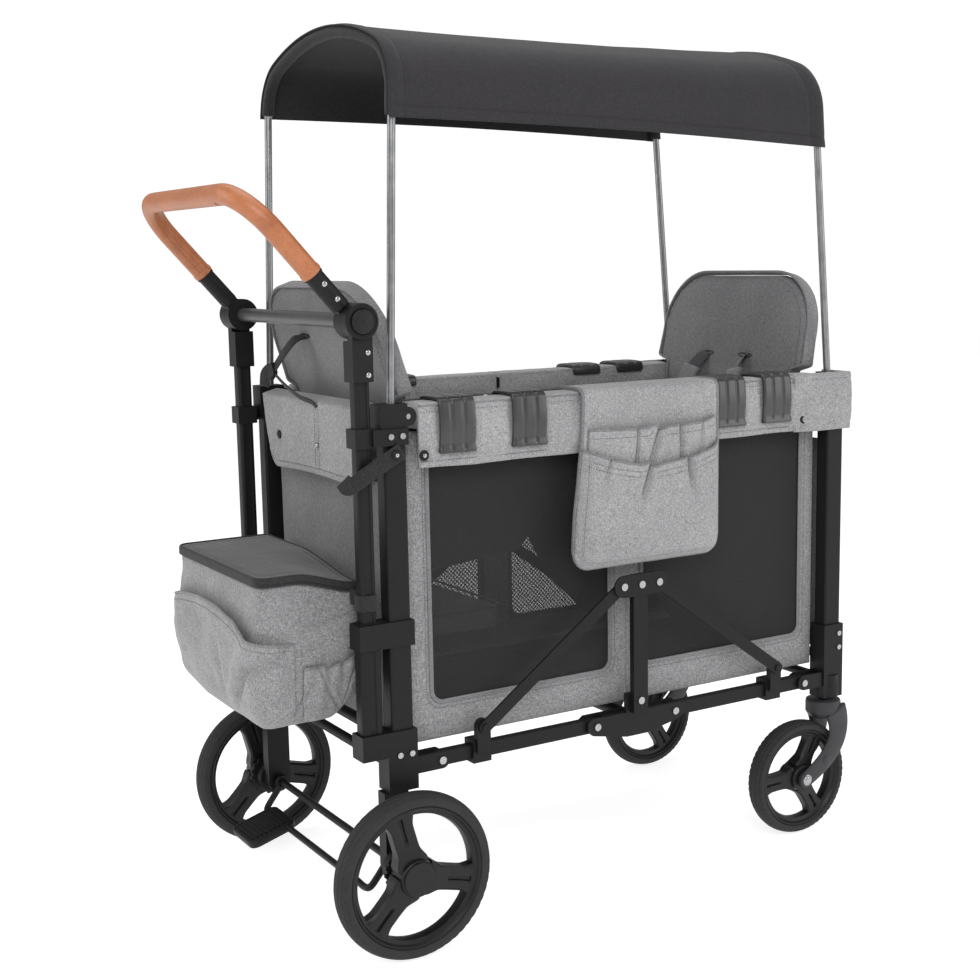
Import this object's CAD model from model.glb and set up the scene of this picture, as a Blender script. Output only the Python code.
from math import atan2, copysign, cos, exp, hypot, pi, radians, sin, sqrt, tan

import bmesh
import bpy
import numpy as np
from mathutils import Matrix, Vector, noise


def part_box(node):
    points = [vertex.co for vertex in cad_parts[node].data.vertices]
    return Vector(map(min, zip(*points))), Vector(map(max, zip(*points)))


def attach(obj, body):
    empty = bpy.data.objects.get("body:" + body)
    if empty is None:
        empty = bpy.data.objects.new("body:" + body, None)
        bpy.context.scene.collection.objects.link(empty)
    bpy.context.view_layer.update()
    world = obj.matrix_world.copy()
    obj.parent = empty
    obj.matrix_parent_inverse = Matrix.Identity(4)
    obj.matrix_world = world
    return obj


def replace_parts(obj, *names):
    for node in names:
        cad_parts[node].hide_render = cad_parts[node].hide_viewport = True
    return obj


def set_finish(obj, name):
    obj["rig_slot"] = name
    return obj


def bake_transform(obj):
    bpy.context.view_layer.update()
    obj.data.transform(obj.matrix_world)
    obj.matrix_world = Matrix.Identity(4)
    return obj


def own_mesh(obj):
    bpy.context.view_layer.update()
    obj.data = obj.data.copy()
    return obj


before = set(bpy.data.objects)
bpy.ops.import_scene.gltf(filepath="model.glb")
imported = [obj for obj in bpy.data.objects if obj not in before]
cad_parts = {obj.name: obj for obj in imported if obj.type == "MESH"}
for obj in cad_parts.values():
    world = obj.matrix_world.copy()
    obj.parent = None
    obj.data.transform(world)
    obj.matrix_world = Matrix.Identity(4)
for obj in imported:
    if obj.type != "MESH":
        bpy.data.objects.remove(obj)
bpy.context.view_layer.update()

scene = bpy.context.scene
post_low, post_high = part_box("rear_posts")
front_low, front_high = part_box("front_posts")
REAR_X = (post_low.x + post_high.x) / 2
# in millimetres: the front posts from the rear ones, and the posts' line from the middle
END_X = ((front_low.x + front_high.x) / 2 - REAR_X) * 1000
MID = (post_high.y - 0.014) * 1000
SIDES = ((-1, "near"), (1, "far"))


def P(x, y, z):
    """A point given in millimetres from the rear posts' line, in the row frame."""
    return Vector((REAR_X + x / 1000, y / 1000, z / 1000))


def smooth(a, b, t):
    t = min(max((t - a) / (b - a), 0), 1)
    return t * t * (3 - 2 * t)


def bump(t, centre, width):
    return exp(-(((t - centre) / width) ** 2))


def wrinkle(x, y, z, scale=0.02, seed=0.0):
    return noise.noise(Vector((x * scale + seed, y * scale - seed, z * scale + seed * 0.37)))


def steps(n):
    """n even steps from 0 to 1."""
    return [i / (n - 1) for i in range(n)]


def turn(n):
    """n angles once around."""
    return [2 * pi * k / n for k in range(n)]


def squarish(c, power):
    """A sine or cosine pushed out towards the corners of a square."""
    return copysign(abs(c) ** power, c)


def end_x(end, x):
    """x for a distance from one end's posts towards the middle."""
    return x if end == "rear" else END_X - x


# ------------------------------------------------------------ materials

def rgb(c):
    """A colour from (red, green, blue), or from (red and green, blue)."""
    return c if len(c) == 3 else (c[0], c[0], c[1])


def shader(name, rough=0.6, metal=0.0, spec=0.5, coat=0.0, coat_rough=0.2, sheen=0.0):
    m = bpy.data.materials.new(name)
    m.use_nodes = True
    b = m.node_tree.nodes["Principled BSDF"]
    for key, v in (("Roughness", rough), ("Metallic", metal), ("Specular IOR Level", spec), ("Coat Weight", coat),
                   ("Coat Roughness", coat_rough), ("Sheen Weight", sheen), ("Sheen Roughness", 0.45)):
        b.inputs[key].default_value = v
    return m, b


class Net:
    """Short calls that add nodes to a material."""

    def __init__(self, m):
        self.t = m.node_tree
        self.pos = self.t.nodes.new("ShaderNodeTexCoord").outputs["Object"]

    def add(self, kind, result, inputs, **attributes):
        """Adds a node. An input is a value, another node's output, or None to leave it."""
        n = self.t.nodes.new("ShaderNode" + kind)
        for key, v in attributes.items():
            setattr(n, key, v)
        for key, v in inputs.items():
            if isinstance(v, bpy.types.NodeSocket):
                self.t.links.new(v, n.inputs[key])
            elif v is not None:
                n.inputs[key].default_value = v
        return n.outputs[result]

    def map(self, *scale):
        return self.add("Mapping", "Vector", {"Vector": self.pos, "Scale": scale})

    def noise(self, scale, detail=2.0, rough=0.5, vec=None, distort=0.0):
        return self.add("TexNoise", "Fac", {"Scale": scale, "Detail": detail, "Roughness": rough,
                                            "Distortion": distort, "Vector": self.pos if vec is None else vec})

    def wave(self, scale, direction, vec=None, distort=0.0):
        return self.add("TexWave", "Fac", {"Scale": scale, "Distortion": distort, "Detail": 1.0, "Detail Scale": 1.5,
                                           "Vector": self.pos if vec is None else vec}, bands_direction=direction)

    def math(self, op, a, b):
        return self.add("Math", 0, {0: a, 1: b}, operation=op)

    def sum(self, *pairs):
        """Adds up outputs, each given with its weight."""
        total = None
        for fac, weight in pairs:
            part = self.math("MULTIPLY", fac, weight)
            total = part if total is None else self.math("ADD", total, part)
        return total

    def ramp(self, fac, *stops):
        result = self.add("ValToRGB", "Color", {"Fac": fac})
        e = result.node.color_ramp.elements
        while len(e) > 1:
            e.remove(e[-1])
        e[0].position = stops[0][0]
        e[0].color = (*rgb(stops[0][1]), 1)
        for at, colour in stops[1:]:
            e.new(at).color = (*rgb(colour), 1)
        return result

    def range(self, fac, lo, hi, a=0.0, b=1.0):
        return self.add("MapRange", "Result", {"Value": fac, "From Min": a, "From Max": b, "To Min": lo, "To Max": hi})

    def bump(self, height, strength, distance, normal=None):
        return self.add("Bump", "Normal", {"Strength": strength, "Distance": distance, "Height": height,
                                           "Normal": normal})

    def to(self, bsdf, **links):
        for key, result in links.items():
            self.t.links.new(result, bsdf.inputs[key.replace("_", " ")])


def cloth_material(name, low, mid, high, pitch=0.0011, rough=0.86, sheen=0.25, folds=0.3, fleck=1.0):
    """A woven cloth: crossed threads, a mix of light and dark yarns, and soft creases."""
    m, b = shader(name, rough=rough, spec=0.25, sheen=sheen)
    n = Net(m)
    warp, weft, side = [n.wave(1 / pitch / 6.283 * 2, axis, distort=0.6) for axis in "XZY"]
    weave = n.math("MULTIPLY", n.math("ADD", n.math("ADD", warp, weft), side), 0.33)
    yarns = [n.noise(560, 1.0, vec=n.map(a, 1.0, c)) for a, c in ((0.35, 1.6), (1.6, 0.35))]
    broad = n.math("SUBTRACT", n.noise(9, 3.0), 0.5)
    mix = n.sum((yarns[0], 0.42), (yarns[1], 0.42), (n.noise(1600, 0.0), 0.3 * fleck), (broad, 0.16))
    crease = n.bump(n.noise(26, 3.0, 0.55, vec=n.map(1, 1, 0.7), distort=0.6), folds, 0.004)
    n.to(b, Base_Color=n.ramp(mix, (0.37, low), (0.55, mid), (0.72, high)),
         Normal=n.bump(weave, 0.35, 0.0005, crease), Roughness=n.range(mix, rough - 0.06, rough + 0.06))
    return m


def hard_material(name, low, high, rough, metal=0.0, grain=700, grain_depth=0.0002, strength=0.25, coat=0.0,
                  spec=0.5, wear=0.35, sparkle=0.0):
    """Painted metal or moulded plastic with a fine grain, smears and a little dust."""
    m, b = shader(name, rough=rough, metal=metal, coat=coat, coat_rough=0.25, spec=spec)
    n = Net(m)
    fine = n.noise(grain, 2.0, 0.6)
    smear = n.noise(14, 4.0, 0.6, distort=0.4)
    mix = n.sum((fine, 0.4 + sparkle), (smear, 0.35), (n.noise(90, 3.0, 0.7), 0.25))
    n.to(b, Base_Color=n.ramp(mix, (0.34, low), (0.68, high)), Normal=n.bump(fine, strength, grain_depth),
         Roughness=n.range(n.sum((smear, 0.6), (fine, 0.4)), rough - wear * 0.22, rough + wear * 0.3, 0.25, 0.75))
    return m


def pole_material():
    m, b = shader("pole_steel", rough=0.34, metal=0.9)
    n = Net(m)
    streak = n.noise(160, 2.0, vec=n.map(1, 1, 0.02))
    spot = n.noise(60, 3.0)
    mix = n.sum((streak, 0.6), (spot, 0.4))
    n.to(b, Base_Color=n.ramp(mix, (0.3, (0.16, 0.165, 0.17)), (0.7, (0.33, 0.335, 0.34))),
         Roughness=n.range(spot, 0.26, 0.42), Normal=n.bump(streak, 0.12, 0.0002))
    return m


def rivet_material():
    m, b = shader("rivet_steel", rough=0.22, metal=1.0)
    n = Net(m)
    scratch = n.noise(900, 2.0, vec=n.map(0.3, 1, 1))
    n.to(b, Base_Color=n.ramp(scratch, (0.3, (0.28, 0.29)), (0.7, (0.50, 0.52))),
         Roughness=n.range(scratch, 0.16, 0.34), Normal=n.bump(scratch, 0.1, 0.0001))
    return m


def leather_material():
    m, b = shader("grip_leather", rough=0.42, spec=0.45, coat=0.12, coat_rough=0.3)
    n = Net(m)
    grain = n.add("TexVoronoi", "Distance", {"Scale": 520, "Smoothness": 0.5, "Vector": n.pos}, feature="SMOOTH_F1")
    tone = n.noise(18, 4.0, 0.6, distort=0.5)
    rub = n.noise(60, 3.0, vec=n.map(1, 0.35, 1))
    mix = n.sum((tone, 0.55), (rub, 0.3), (grain, 0.25))
    n.to(b, Base_Color=n.ramp(mix, (0.34, (0.27, 0.084, 0.030)), (0.52, (0.37, 0.122, 0.044)),
                              (0.72, (0.45, 0.160, 0.062))),
         Roughness=n.range(tone, 0.34, 0.52),
         Normal=n.bump(n.noise(1300, 2.0), 0.2, 0.0002, n.bump(grain, 0.35, 0.0006)))
    return m


def mesh_material():
    """Black warp-knit mesh with open diamonds."""
    m, b = shader("net", rough=0.7, spec=0.3, sheen=0.05)
    n = Net(m)
    threads = [n.wave(1 / 0.0014 * 0.6283, "DIAGONAL", vec=n.map(a, 0.0, 1.0)) for a in (1.0, -1.0)]
    hole = n.math("MULTIPLY", *threads)
    n.to(b, Alpha=n.math("SUBTRACT", 1.0, n.math("GREATER_THAN", hole, 0.42)),
         Base_Color=n.ramp(hole, (0.0, (0.020, 0.021)), (0.5, (0.007, 0.0075))),
         Normal=n.bump(n.math("MULTIPLY", hole, -1.0), 0.5, 0.0008))
    return m


FINE = dict(pitch=0.0006, folds=0.05)
CLOTHS = {
    "heather": ((0.105, 0.11), (0.215, 0.22), (0.37, 0.375), {}),
    "heather_dark": ((0.085, 0.09), (0.15, 0.155), (0.235, 0.24), {}),
    "heather_light": ((0.135, 0.14), (0.265, 0.27), (0.40, 0.405), {}),
    "piping": ((0.10, 0.104), (0.17, 0.175), (0.25, 0.255), dict(pitch=0.0008, folds=0.1)),
    "canopy": ((0.019, 0.0175, 0.0195), (0.027, 0.025, 0.028), (0.040, 0.037, 0.041),
               dict(pitch=0.0007, rough=0.8, sheen=0.08, folds=0.16, fleck=0.5)),
    "canopy_in": ((0.010, 0.011), (0.015, 0.016), (0.024, 0.025), dict(pitch=0.0007, rough=0.9, sheen=0.1, folds=0.15)),
    "dark_cloth": ((0.03, 0.032), (0.052, 0.055), (0.085, 0.088), dict(rough=0.84)),
    "webbing": ((0.008, 0.009), (0.014, 0.015), (0.03, 0.031), dict(pitch=0.0013, rough=0.7, sheen=0.1, folds=0.08)),
    "zip_tape": ((0.016, 0.017), (0.026, 0.028), (0.045, 0.047), dict(pitch=0.0008, folds=0.08, sheen=0.1)),
    "stitch": ((0.05, 0.052), (0.09, 0.093), (0.14, 0.143), FINE),
    "stitch_leather": ((0.14, 0.045, 0.02), (0.2, 0.07, 0.03), (0.3, 0.12, 0.06), FINE),
}
HARD = {
    "frame": ((0.003, 0.0034), (0.012, 0.013), 0.46,
              dict(metal=0.2, grain=950, strength=0.45, spec=0.22, sparkle=0.35)),
    "plastic": ((0.004, 0.0044), (0.010, 0.011), 0.5, dict(grain=1300, grain_depth=0.0001, strength=0.3, spec=0.24)),
    "fork": ((0.020, 0.019, 0.021), (0.040, 0.038, 0.042), 0.45,
             dict(grain=900, grain_depth=0.0001, strength=0.2, spec=0.35)),
    "clip": ((0.020, 0.021), (0.038, 0.040), 0.3, dict(grain=1100, grain_depth=0.0001, strength=0.15, coat=0.2)),
    "wheel": ((0.004, 0.0045), (0.011, 0.0115), 0.42, dict(grain=1100, grain_depth=0.0001, strength=0.2, spec=0.3)),
    "rubber": ((0.018, 0.019), (0.036, 0.038), 0.72, dict(grain=500, strength=0.4, wear=0.3, spec=0.25)),
    "crossbar": ((0.055, 0.058), (0.10, 0.105), 0.38, dict(metal=0.6, grain=900, strength=0.3, coat=0.1)),
    "dark_steel": ((0.006, 0.0065), (0.018, 0.019), 0.45, dict(metal=0.3, strength=0.35, spec=0.3)),
}
MAT = {name: cloth_material(name, *colours, **more) for name, (*colours, more) in CLOTHS.items()}
MAT.update((name, hard_material(name, low, high, rough, **more)) for name, (low, high, rough, more) in HARD.items())
MAT.update(pole=pole_material(), rivet=rivet_material(), leather=leather_material(), net=mesh_material())

# ------------------------------------------------------------ mesh helpers

SLOTS = {mat: slot for slot, mats in {
    "heather_fabric": "heather heather_dark heather_light piping stitch", "canopy_fabric": "canopy canopy_in",
    "trim_fabric": "dark_cloth zip_tape net", "webbing": "webbing", "frame_tube": "frame", "dark_plastic": "plastic",
    "fork_plastic": "fork clip", "wheel_plastic": "wheel", "tyre_rubber": "rubber", "crossbar_grey": "crossbar",
    "dark_steel": "dark_steel", "pole_steel": "pole", "rivet_steel": "rivet",
    "grip_leather": "leather stitch_leather"}.items() for mat in mats.split()}


def piece(name, verts, faces, mat, body=None, in_mm=True):
    me = bpy.data.meshes.new(name)
    me.from_pydata([P(*v) if in_mm else Vector(v) for v in verts], [], faces)
    me.materials.append(MAT[mat])
    me.polygons.foreach_set("use_smooth", [True] * len(me.polygons))
    me.update()
    o = bpy.data.objects.new(name, me)
    scene.collection.objects.link(o)
    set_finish(o, SLOTS[mat])
    if body:
        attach(o, body)
    return o


def wear(o, body, stands=None, fold_z=None, **sheet):
    """Puts a piece on its body, and says what it stands for and how its cloth is held."""
    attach(o, body)
    if fold_z:
        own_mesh(o)
    if stands:
        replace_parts(o, stands)
    return o


def soft_tub(o, stands=None, **sheet):
    """A piece of the cloth tub, which shortens as the wagon folds."""
    return wear(o, "rear_frame", stands, 500, **sheet)


def grid_faces(nu, nv, wrap_u=False, wrap_v=False, first=0):
    out = []
    for i in range(nu if wrap_u else nu - 1):
        for j in range(nv if wrap_v else nv - 1):
            a, b = i * nv + j, i * nv + (j + 1) % nv
            c, d = ((i + 1) % nu) * nv + (j + 1) % nv, ((i + 1) % nu) * nv + j
            out.append(tuple(first + k for k in (a, b, c, d)))
    return out


def sheet_grid(name, nu, nv, f, mat):
    return piece(name, [f(u, v) for u in steps(nu) for v in steps(nv)], grid_faces(nu, nv), mat)


def thicken(o, t, offset=-1.0, even=True, lining=0):
    """Gives a sheet its thickness, in millimetres, and applies it."""
    m = o.modifiers.new("thick", "SOLIDIFY")
    m.thickness = t / 1000
    m.offset = offset
    m.use_even_offset = even
    m.material_offset = lining
    applied(o)
    reach = max(abs(c) for v in o.data.vertices for c in v.co)
    if reach > 1.6:
        raise ValueError("%s has a vertex %.2f m out after thickening" % (o.name, reach))
    return o


def applied(o):
    me = bpy.data.meshes.new_from_object(o.evaluated_get(bpy.context.evaluated_depsgraph_get()))
    old = o.data
    o.modifiers.clear()
    o.data = me
    bpy.data.meshes.remove(old)
    return o


def bevel(o, width, segments, angle=38):
    m = o.modifiers.new("edge", "BEVEL")
    m.width = width
    m.segments = segments
    m.limit_method = "ANGLE"
    m.angle_limit = radians(angle)


def outward(o):
    """Turns every face outwards."""
    bm = bmesh.new()
    bm.from_mesh(o.data)
    bmesh.ops.recalc_face_normals(bm, faces=bm.faces)
    bm.to_mesh(o.data)
    bm.free()
    return o


def crisp(o, angle=38):
    o.data.set_sharp_from_angle(angle=radians(angle))
    return o


def frame_along(points, closed=False, up=None):
    """A moving frame along a line: lists of points, sideways and upward unit vectors."""
    pts = [Vector(p) for p in points]
    n = len(pts)
    tangents = []
    for i in range(n):
        a = pts[(i - 1) % n] if closed or i > 0 else pts[i]
        b = pts[(i + 1) % n] if closed or i < n - 1 else pts[i]
        tangents.append((b - a).normalized())
    up = Vector(up) if up else (Vector((0, 0, 1)) if abs(tangents[0].z) < 0.9 else Vector((1, 0, 0)))
    sides, ups = [], []
    u = up
    for t in tangents:
        s = t.cross(u)
        if s.length < 1e-6:
            s = t.orthogonal()
        s.normalize()
        u = s.cross(t).normalized()
        sides.append(s)
        ups.append(u.copy())
    return pts, sides, ups


def loft(name, rows, mat, body=None, closed=False):
    """A solid through closed rings of points in millimetres."""
    m = len(rows[0])
    faces = grid_faces(len(rows), m, wrap_u=closed, wrap_v=True)
    if not closed:
        faces += [tuple(range(m))[::-1], tuple((len(rows) - 1) * m + k for k in range(m))]
    o = outward(piece(name, [v for row in rows for v in row], faces, mat))
    if body:
        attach(o, body)
    return o


def tube(name, points, mat, body=None, r=2.0, sides=10, closed=False, profile=None, up=None):
    """A solid swept along a line in millimetres. profile is a list of (sideways, upward) offsets."""
    profile = profile or [(r * cos(a), r * sin(a)) for a in turn(sides)]
    rows = [[p + s * a + u * b for a, b in profile] for p, s, u in zip(*frame_along(points, closed, up))]
    return loft(name, rows, mat, body, closed)


def box_profile(w, h, r, n=4):
    out = []
    for cx, cy, a0 in ((w - r, h - r, 0), (-w + r, h - r, 90), (-w + r, -h + r, 180), (w - r, -h + r, 270)):
        for k in range(n + 1):
            a = radians(a0 + 90 * k / n)
            out.append((cx + r * cos(a), cy + r * sin(a)))
    return out


def joined(name, objs):
    """Several pieces as one, with their materials."""
    bm = bmesh.new()
    mats = []
    for o in objs:
        table = []
        for m in o.data.materials:
            if m not in mats:
                mats.append(m)
            table.append(mats.index(m))
        first = len(bm.faces)
        bm.from_mesh(o.data)
        bm.faces.ensure_lookup_table()
        for f in bm.faces[first:]:
            f.material_index = table[f.material_index] if table else 0
    keep = objs[0]
    me = bpy.data.meshes.new(name)
    bm.to_mesh(me)
    bm.free()
    for m in mats:
        me.materials.append(m)
    keep.data = me
    keep.name = name
    for o in objs[1:]:
        bpy.data.objects.remove(o, do_unlink=True)
    return keep


def stitches(name, points, body=None, mat="stitch", pitch=4.6, length=3.2, r=0.5):
    """A row of short raised stitches along a line in millimetres."""
    line = np.array([list(p) for p in points], float)
    along = np.concatenate([[0], np.cumsum(np.linalg.norm(np.diff(line, axis=0), axis=1))])
    count = max(2, int(along[-1] / pitch))
    verts, faces = [], []
    for i in range(count):
        a = (i + 0.5) * along[-1] / count
        start, stop = [Vector([np.interp(a + s * length / 2, along, line[:, k]) for k in range(3)]) for s in (-1, 1)]
        d = (stop - start).normalized()
        u = d.orthogonal().normalized()
        v = d.cross(u)
        faces += grid_faces(4, 5, wrap_v=True, first=len(verts))
        for t, share in ((0.0, 0.3), (0.3, 1.0), (0.7, 1.0), (1.0, 0.3)):
            verts += [start.lerp(stop, t) + (u * cos(g) + v * sin(g)) * r * share for g in turn(5)]
    return piece(name, verts, faces, mat, body)


def inflate(o, voxel, cap):
    """Turns a closed shape into a stuffed one with Cloth, and applies the result."""
    m = o.modifiers.new("remesh", "REMESH")
    m.mode = "VOXEL"
    m.voxel_size = voxel / 1000
    applied(o)
    co = np.array([v.co for v in o.data.vertices], float)
    c = o.modifiers.new("cloth", "CLOTH")
    s = c.settings
    s.quality = 4
    s.use_pressure = True
    s.uniform_pressure_force = 4
    s.effector_weights.gravity = 0
    s.tension_stiffness = s.compression_stiffness = 15
    c.point_cache.frame_start, c.point_cache.frame_end = 1, 20
    for f in range(1, 21):
        scene.frame_set(f)
    got = o.evaluated_get(bpy.context.evaluated_depsgraph_get())
    move = np.array([v.co for v in got.data.vertices], float) - co
    far = np.linalg.norm(move, axis=1, keepdims=True)
    co = co + move * np.minimum(1, cap / 1000 / np.maximum(far, 1e-9))
    o.modifiers.clear()
    scene.frame_set(1)
    o.data.vertices.foreach_set("co", co.astype(np.float32).ravel())
    o.data.update()
    o.data.polygons.foreach_set("use_smooth", [True] * len(o.data.polygons))
    m = o.modifiers.new("sub", "SUBSURF")
    m.levels = m.render_levels = 1
    return applied(o)


def moved(o, f):
    """Moves each vertex: f gets and returns millimetres in the rear posts' frame."""
    for v in o.data.vertices:
        x, y, z = (v.co.x - REAR_X) * 1000, v.co.y * 1000, v.co.z * 1000
        v.co = P(*f(x, y, z))
    o.data.update()
    return o


# ------------------------------------------------------------ camera, light, floor

camera_data = bpy.data.cameras.new("camera")
camera = bpy.data.objects.new("camera", camera_data)
scene.collection.objects.link(camera)
YAW, PITCH, ROLL = 0.5415, 0.1526, -0.0186
ahead = Vector((sin(YAW) * cos(PITCH), cos(YAW) * cos(PITCH), -sin(PITCH)))
level = Vector((cos(YAW), -sin(YAW), 0))
right = level * cos(ROLL) + level.cross(ahead) * sin(ROLL)
camera.matrix_world = Matrix.Translation(P(-997, -2154, 1024)) @ Matrix(
    (right, right.cross(ahead), -ahead)).transposed().to_4x4()
camera_data.sensor_width = 36
camera_data.lens = 55.4
camera_data.clip_end = 60
camera_data.dof.use_dof = False
scene.camera = camera
scene.view_settings.view_transform = "Standard"

# the camera sees a brighter backdrop than the one that lights the wagon
world = bpy.data.worlds.new("studio")
scene.world = world
world.use_nodes = True
w_nodes, w_links = world.node_tree.nodes, world.node_tree.links
backdrop, dim = w_nodes["Background"], w_nodes.new("ShaderNodeBackground")
choose = w_nodes.new("ShaderNodeMixShader")
for node, strength, slot in ((dim, 0.42, 1), (backdrop, 1.05, 2)):
    node.inputs["Color"].default_value = (1.0, 1.0, 1.0, 1)
    node.inputs["Strength"].default_value = strength
    w_links.new(node.outputs["Background"], choose.inputs[slot])
w_links.new(w_nodes.new("ShaderNodeLightPath").outputs["Is Camera Ray"], choose.inputs["Fac"])
w_links.new(choose.outputs["Shader"], w_nodes["World Output"].inputs["Surface"])

for name, place, target, size, power in (("key", (-1.6, -2.6, 2.6), (0.1, 0, 0.7), (1.8, 1.8), 62),
                                         ("fill", (2.4, -2.4, 1.6), (0.2, 0, 0.6), (2.0, 2.0), 30),
                                         ("top", (0.2, 0.3, 3.4), (0.1, 0, 0.6), (2.6, 2.6), 42),
                                         ("rim", (-2.8, 1.2, 1.8), (-0.2, 0, 0.8), (1.2, 2.0), 26)):
    data = bpy.data.lights.new(name, "AREA")
    data.shape = "RECTANGLE"
    data.size, data.size_y = size
    data.energy = power
    o = bpy.data.objects.new(name, data)
    scene.collection.objects.link(o)
    o.location = Vector(place)
    o.rotation_euler = (Vector(target) - Vector(place)).to_track_quat("-Z", "Y").to_euler()

floor_verts = [(x, y, 0.0) for x in (-14, 14) for y in (-14, 14)]
floor = piece("studio_floor", floor_verts, [(0, 2, 3, 1)], "heather", in_mm=False)
floor_mat, floor_b = shader("floor_white", rough=0.9, spec=0.1)
floor_net = Net(floor_mat)
floor_net.to(floor_b, Base_Color=floor_net.ramp(floor_net.noise(0.8), (0.3, (0.50, 0.50)), (0.7, (0.53, 0.53))))
floor_b.inputs["Emission Color"].default_value = (1.0, 1.0, 1.0, 1)
floor_b.inputs["Emission Strength"].default_value = 0.8
floor.data.materials[0] = floor_mat
del floor["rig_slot"]

# ------------------------------------------------------------ frame pieces that stay

for mat, width, segments, names in (
        ("frame", 0.0008, 2, "rear_posts front_posts rear_cross_tubes front_cross_tubes rear_top_rails front_top_rails"
                             " rear_base_rails front_base_rails centre_posts strut_brackets rear_struts front_struts"),
        ("plastic", 0.0014, 2, "rear_lower_housings front_lower_housings rear_legs rear_top_blocks front_top_blocks"
                               " handle_clamps centre_brackets rear_sliders front_sliders handle_hubs near_button"
                               " far_button"),
        ("plastic", 0.0016, 3, "handle_arms"), ("pole", 0, 0, "rear_hoop front_hoop"),
        ("rivet", 0.0006, 2, "rear_rivets front_rivets centre_pins"), ("dark_steel", 0.0005, 2, "rear_axle"),
        ("crossbar", 0.0006, 2, "handle_crossbar")):
    for node_name in names.split():
        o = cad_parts[node_name]
        o.data.materials.clear()
        o.data.materials.append(MAT[mat])
        if width:
            bevel(o, width, segments)

# ------------------------------------------------------------ canopy

HALF_C, SHOULDER_R = 231.0, 85.0
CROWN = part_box("canopy")[1].z * 1000
SHOULDER_Z = CROWN - 113
CROWN_R = ((HALF_C - SHOULDER_R) ** 2 + (CROWN - SHOULDER_Z) ** 2 - SHOULDER_R ** 2) / (
    2 * (CROWN - SHOULDER_Z - SHOULDER_R))
TURN = atan2(HALF_C - SHOULDER_R, CROWN_R - CROWN + SHOULDER_Z)


def arch_line(t, near_hem, far_hem, n=64):
    """Points (y, z, outward y, outward z) of the canopy's arch, t millimetres inside its outer face."""
    out = []
    lengths = [SHOULDER_Z - near_hem, SHOULDER_R * (pi / 2 - TURN), CROWN_R * 2 * TURN,
               SHOULDER_R * (pi / 2 - TURN), SHOULDER_Z - far_hem]
    total = sum(lengths)
    for i in range(n):
        s = total * i / (n - 1)
        if s <= lengths[0]:
            y, z, ny, nz = -HALF_C, near_hem + s, -1.0, 0.0
        elif s <= sum(lengths[:2]):
            a = pi - (s - lengths[0]) / SHOULDER_R
            ny, nz = cos(a), sin(a)
            y, z = -(HALF_C - SHOULDER_R) + SHOULDER_R * ny, SHOULDER_Z + SHOULDER_R * nz
        elif s <= sum(lengths[:3]):
            a = pi / 2 + TURN - (s - sum(lengths[:2])) / CROWN_R
            ny, nz = cos(a), sin(a)
            y, z = CROWN_R * ny, CROWN - CROWN_R + CROWN_R * nz
        elif s <= sum(lengths[:4]):
            a = pi / 2 - TURN - (s - sum(lengths[:3])) / SHOULDER_R
            ny, nz = cos(a), sin(a)
            y, z = (HALF_C - SHOULDER_R) + SHOULDER_R * ny, SHOULDER_Z + SHOULDER_R * nz
        else:
            y, z, ny, nz = HALF_C, SHOULDER_Z - (s - sum(lengths[:4])), 1.0, 0.0
        out.append((y - t * ny, z - t * nz, ny, nz))
    return out


REAR_LEAN, FRONT_LEAN = tan(radians(2)), tan(radians(4.5))


def pole_x(end, z):
    return (z - 783) * REAR_LEAN if end == "rear" else END_X - 6 - (z - 783) * FRONT_LEAN


def canopy_point(u, v, t):
    hem_near, hem_far = 1222 - 25 * v + 6 * sin(pi * v), 1258 - 18 * v + 4 * sin(pi * v)
    line = CANOPY_CACHE.setdefault((round(v, 5), t), arch_line(t, hem_near, hem_far, CANOPY_NU))
    y, z, ny, nz = line[min(int(round(u * (CANOPY_NU - 1))), CANOPY_NU - 1)]
    x0, x1 = pole_x("rear", z) - 9.5, pole_x("front", z) + 7.5
    x = x0 + (x1 - x0) * v
    from_end = min(x - x0, x1 - x)
    side = 1 - abs(nz)
    sag = (5.0 + 3.5 * side) * sin(pi * v) ** 0.8
    sag += 1.1 * (wrinkle(x, y * 0.5, z, 0.012, 3) * sin(pi * v))
    puff = 2.4 * bump(from_end, 13, 8) - 1.3 * bump(from_end, 28, 2.6)
    hem = min(z - (hem_near if y < 0 else hem_far), 60) if side > 0.5 else 60
    puff += 0.9 * bump(hem, 3, 5) - 0.8 * bump(hem, 19, 2.2)
    pull = 1.6 * wrinkle(x, y, z, 0.035, 8) * bump(from_end, 34, 16)
    push = puff - sag + pull
    return (x, y + ny * push, z + nz * push)


CANOPY_NU = 112
CANOPY_CACHE = {}
canopy = sheet_grid("canopy_cloth", CANOPY_NU, 150, lambda u, v: canopy_point(u, v, 0.4), "canopy")
canopy.data.materials.append(MAT["canopy_in"])
thicken(canopy, 1.6, even=False, lining=1)
wear(canopy, "rear_frame", "canopy", 1300, flat=(0.82, 0.64), held="stretched", rests_on=["rear_hoop", "front_hoop"])


def canopy_stitches(name, points):
    wear(stitches(name, points, mat="canopy", pitch=4.2, length=3.0, r=0.45), "rear_frame", None, 1300)


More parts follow.
